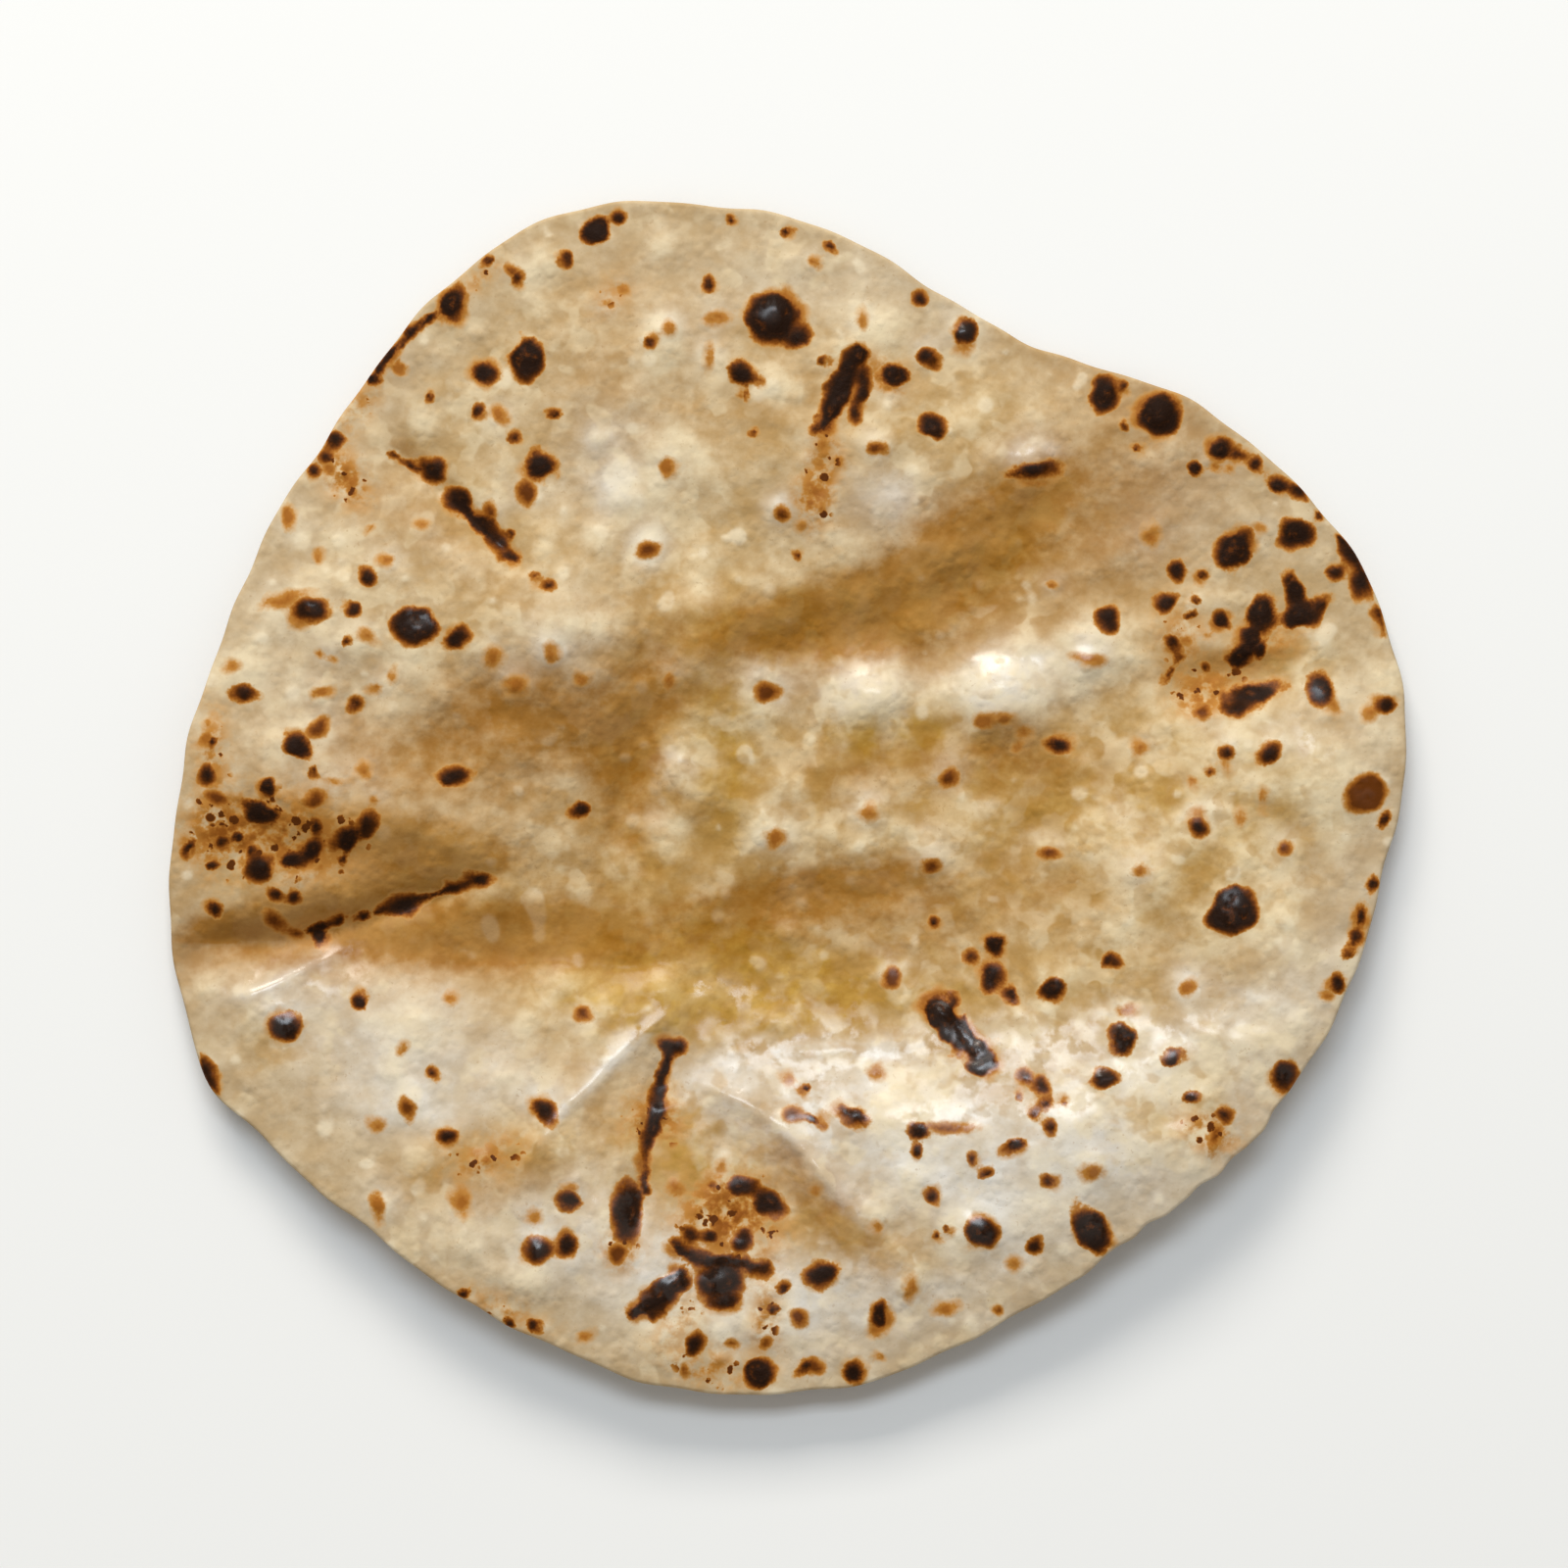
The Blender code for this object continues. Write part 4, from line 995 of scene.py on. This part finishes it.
def dough_group():
    """Cooked dough: creamy on the crests, partly painted light on their tops, ochre in the hollows and
    on slopes facing away from the lamps, partly soaked fat and partly painted shade, with bran flecks
    and a floury bloom where it is dry and a golden tint where it is greasy.  Heat is that of its hazes."""
    tree, n, given, made = new_group(
        "cooked_dough", DOUGH_INPUTS,
        (("Colour", "Color"), ("Mottle", "Float"), ("Heat", "Float")))
    crest, pimple, grease, stain_and_shade, cream_and_highlight, flour, sag, haze = given
    place = n.place()
    patch = n.noise(place, 130.0, 3.0, 0.55, 0.3)
    mottle = n.noise(place, 400.0, 3.0, 0.55)
    fleck = n.noise(place, 1500.0, 2.0)
    lift = n.times(n.less(patch, 0.5), 1.2)
    lift = n.times_plus(n.less(mottle, 0.5), 1.2, lift)
    # Raised places and pimples painted paler: partly the drier dough of a puff, partly painted light on
    # the tops.
    lift = n.times_plus(crest, 0.45, lift)
    lift = n.times_plus(pimple, 0.45, lift)
    pale = n.span(lift, -0.35, 0.85)

    def tone(low, high):
        """From the colour of low dough to that of raised dough."""
        return n.mix(pale, tint(*low), tint(*high))

    def held_back(share, in_stain_and_shade, grease_end, in_grease):
        """A share made less where the ochre of stains and painted shade lies and where the dough is
        greasy.
        """
        share = n.times(share, n.span(stain_and_shade, 0.1, 0.8, 1.0, in_stain_and_shade))
        return n.times(share, n.span(grease, 0.5, grease_end, 1.0, in_grease))

    colour = tone((176, 143, 93), (210, 189, 153))
    # Milky tone where the creamy field lies; that field holds painted highlights on blister tops and
    # fold crests.
    milky = tone((203, 194, 178), (223, 221, 217))
    colour = n.mix(n.times(cream_and_highlight, 0.9, clamp=True), colour, milky)
    bloom = n.times(flour, n.span(patch, 0.3, 0.7, 0.7, 1.1), clamp=True)
    powder = tone((172, 148, 112), (200, 181, 150))
    colour = n.mix(n.times(bloom, 0.75), colour, powder)
    gold = n.times(grease, n.span(patch, 0.38, 0.62, 1.2, 0.55), clamp=True)
    honey = tone((158, 115, 24), (194, 154, 60))
    colour = n.mix(n.times(gold, 0.90), colour, honey)
    # Ochre in low places and in the ochre field: partly soaked fat, partly painted shade in hollows and
    # on slopes facing away from the lamps.
    deep = n.times_plus(sag, 0.20, stain_and_shade)
    deep = n.times(deep, n.span(mottle, 0.3, 0.7, 1.1, 0.8), clamp=True)
    ochre = tone((146, 94, 22), (170, 121, 50))
    colour = n.mix(n.times(deep, 0.90), colour, ochre)

    # Pale crown on raised places and pale pimple tops below: partly drier dough, partly painted light
    # on the tops.
    crown = n.times(n.span(crest, 0.35, 1.15), 0.55)
    crown = n.times(crown, n.span(mottle, 0.3, 0.7, 0.5, 1.2), clamp=True)
    colour = n.mix(held_back(crown, 0.0, 1.3, 0.3), colour, tint(222, 206, 172))
    pip = n.times(n.span(pimple, 0.30, 0.75), 0.50)
    colour = n.mix(held_back(pip, 0.25, 1.3, 0.5), colour, tint(226, 212, 184))
    clot = n.span(n.noise(place, 235.0, 2.0, 0.45, 0.15), 0.50, 0.60)
    clot = n.times(clot, n.span(n.noise(place, 62.0, 2.0), 0.40, 0.60, 0.10, 0.40))
    colour = n.mix(held_back(clot, 0.15, 1.4, 0.4), colour, tint(222, 204, 168))
    clear = n.span(n.noise(place, 270.0, 2.0, 0.5, 0.15), 0.48, 0.37)
    clear = n.times(clear, n.span(grease, 0.0, 0.7, 0.10, 0.45))
    colour = n.mix(clear, colour, tint(168, 128, 66))
    bran = n.times(n.span(fleck, 0.64, 0.72), n.span(patch, 0.4, 0.65, 0.15, 0.6))
    colour = n.mix(n.times(bran, 0.5), colour, tint(150, 112, 66))

    warm = n.times(haze, n.span(n.noise(place, 420.0, 3.0, 0.6, 0.1), 0.30, 0.62))
    crumb = n.fill(n.add("ShaderNodeTexVoronoi", feature="F1"), {"Vector": place, "Scale": 520.0})
    size = n.span(n.plus(mottle, n.times(haze, 0.12)), 0.50, 0.75, 0.0, 0.46)
    speck = n.span(n.less(crumb.outputs["Distance"], size), 0.10, -0.10)
    speck = n.times(speck, n.span(haze, 0.2, 0.55))
    glow = n.greater(n.times(warm, 0.34), n.times(speck, 0.60))
    n.fill(made, {"Colour": colour, "Mottle": mottle, "Heat": glow})
    return tree


def place_group(n, tree, values):
    """Puts a group into a material and feeds its inputs by name."""
    return n.fill(n.add("ShaderNodeGroup", node_tree=tree), values)


def cooked_colour(n, place, dough):
    """Dough colour with the marks over it, and the heat that marked it."""
    searing = searing_group()
    reach_out = n.span(n.noise(place, 165.0, 1.0), 0.36, 0.64, -0.25, -1.10)
    heat = dough.outputs["Heat"]
    for name, ragged, outside, inside, peak in (
            ("toast", 0.42, reach_out, 0.70, 0.33), ("brown", 0.35, -0.55, 0.75, 0.56),
            ("char", 0.42, reach_out, 0.80, 1.0)):
        mark = place_group(n, searing, {
            "Depth": n.field(name + "_depth"), "Ragged": ragged, "Outside": outside,
            "Inside": inside, "Peak": peak})
        heat = n.greater(heat, mark.outputs["Heat"])
    worn = n.span(n.noise(place, 620.0, 3.0, 0.6, 0.2), 0.48, 0.68, 0.0, 0.38)
    heat = n.less(heat, n.times(worn, n.span(n.field("char_depth"), 0.4, 1.4)))
    scorch = n.ramp(heat, (
        (0.0, tint(196, 154, 96)), (0.10, tint(189, 140, 78)), (0.20, tint(176, 121, 54)),
        (0.30, tint(158, 98, 34)), (0.40, tint(132, 74, 18)), (0.52, tint(102, 52, 9)),
        (0.66, tint(70, 34, 6)), (0.82, tint(48, 24, 7)), (1.0, tint(33, 17, 7))))
    share = n.span(heat, 0.0, 0.20, smooth=False)
    return n.mix(share, dough.outputs["Colour"], scorch), heat


def skin_bump(n, place, charred):
    """Finest relief of the skin: pebbles, pores and the crust of the char, as a normal."""
    cell = n.fill(n.add("ShaderNodeTexVoronoi", feature="SMOOTH_F1"), {
        "Vector": place, "Scale": 620.0, "Smoothness": 0.35})
    dome = n.span(cell.outputs["Distance"], 0.0, 0.75, 1.0, 0.0)
    uneven = n.span(n.noise(place, 210.0, 3.0), 0.35, 0.65, 0.15, 1.0)
    pebble = n.plus(n.noise(place, 480.0, 2.0, 0.45), n.times(dome, uneven))
    pore = n.noise(place, 2600.0, 2.0, 0.5)
    crust = n.times(charred, n.noise(place, 1300.0, 3.0, 0.7))
    height = n.plus(n.times(pebble, 0.14), n.times(pore, 0.02))
    height = n.times_plus(crust, 0.12, height)
    bump = n.fill(n.add("ShaderNodeBump"), {"Strength": 0.9, "Distance": MM, "Height": height})
    return bump.outputs["Normal"]


def bread_finish():
    """Cooked dough with toasted, browned and charred marks, greased in places."""
    mat = bpy.data.materials.new("griddled_dough")
    mat.use_nodes = True
    n = Nodes(mat.node_tree)
    place = n.place()
    fields = {name: n.field(name.lower()) for name in DOUGH_INPUTS}
    dough = place_group(n, dough_group(), fields)
    colour, heat = cooked_colour(n, place, dough)
    charred = n.span(heat, 0.50, 0.85)

    greasy = n.span(n.field("grease"), 0.15, 1.0)
    wet = n.span(n.field("wet"), 0.1, 0.9)
    smear = n.noise(place, 240.0, 4.0, 0.6)
    rough = n.span(dough.outputs["Mottle"], 0.3, 0.7, 0.50, 0.66)
    for share, change in ((greasy, -0.10), (wet, -0.06), (charred, 0.04)):
        rough = n.times_plus(share, change, rough)
    film = n.times(n.plus(n.times(greasy, 0.25), wet), n.span(smear, 0.42, 0.53, 0.06, 1.0))
    n.fill(mat.node_tree.nodes["Principled BSDF"], {
        "Base Color": colour, "Roughness": rough, "Normal": skin_bump(n, place, charred),
        "Coat Weight": n.times(film, 0.85, clamp=True), "Coat Roughness": 0.23, "Coat IOR": 1.55,
        "Specular IOR Level": 0.06})
    mat.diffuse_color = tint(214, 190, 150)
    return mat


def plain_finish(name, colour, roughness):
    """One plain matt finish, for the studio floor only."""
    mat = bpy.data.materials.new(name)
    mat.use_nodes = True
    shader = mat.node_tree.nodes["Principled BSDF"]
    shader.inputs["Base Color"].default_value = colour
    shader.inputs["Roughness"].default_value = roughness
    return mat


# ---- studio --------------------------------------------------------------------
def floor():
    """A wide, flat, pale floor under the bread."""
    half = 3.0
    side = np.linspace(-half, half, 9)
    gx, gy = np.meshgrid(side, side, indexing="ij")
    points = np.stack((gx.ravel(), gy.ravel(), np.full(gx.size, -0.00002)), 1)
    mesh = bpy.data.meshes.new("studio_floor")
    mesh.from_pydata(points.tolist(), [], grid_triangles(8, True).tolist())
    mesh.materials.append(plain_finish("pale_floor", tint(236, 236, 235), 0.8))
    ground = bpy.data.objects.new("studio_floor", mesh)
    bpy.context.scene.collection.objects.link(ground)


def soft_lamp(name, place, width, height, power, colour):
    """A rectangular lamp at place, facing the bread."""
    data = bpy.data.lights.new(name, "AREA")
    data.shape = "RECTANGLE"
    data.size = width
    data.size_y = height
    data.energy = power
    data.color = colour
    lamp = bpy.data.objects.new(name, data)
    bpy.context.scene.collection.objects.link(lamp)
    east, north, up = place
    lamp.location = place
    lamp.rotation_euler = (math.atan2(math.hypot(east, north), up), 0.0,
                           math.atan2(north, east) + math.pi / 2.0)


def light_studio():
    """A low window beyond the bread, a higher one above it, and an even pale surround."""
    soft_lamp("low_window", (-0.34, 1.83, 1.18), 1.2, 0.7, 41.0, (1.0, 0.945, 0.86))
    soft_lamp("high_window", (-0.10, 0.84, 1.80), 1.1, 0.45, 16.5, (0.80, 0.90, 1.0))
    world = bpy.data.worlds.new("pale_surround")
    world.use_nodes = True
    back = world.node_tree.nodes["Background"]
    back.inputs["Color"].default_value = (1.0, 0.965, 0.90, 1.0)
    back.inputs["Strength"].default_value = 0.36
    bpy.context.scene.world = world
    bpy.context.scene.view_settings.view_transform = "Standard"


def camera():
    """Straight down on the bread from two thirds of a metre, taking in wide metres of it."""
    data = bpy.data.cameras.new("camera")
    data.lens = 100.0
    data.sensor_width = 36.0
    data.clip_start = 0.05
    data.clip_end = 20.0
    eye = bpy.data.objects.new("camera", data)
    bpy.context.scene.collection.objects.link(eye)
    wide = 0.2384
    eye.location = (-0.00046, 0.00188, 0.006 + wide * data.lens / data.sensor_width)
    eye.rotation_euler = (0.0, 0.0, 0.0)
    bpy.context.scene.camera = eye


skin = build_skin()
skin.data.materials.append(bread_finish())
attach(skin, "root")
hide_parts("chapati")
floor()
light_studio()
camera()
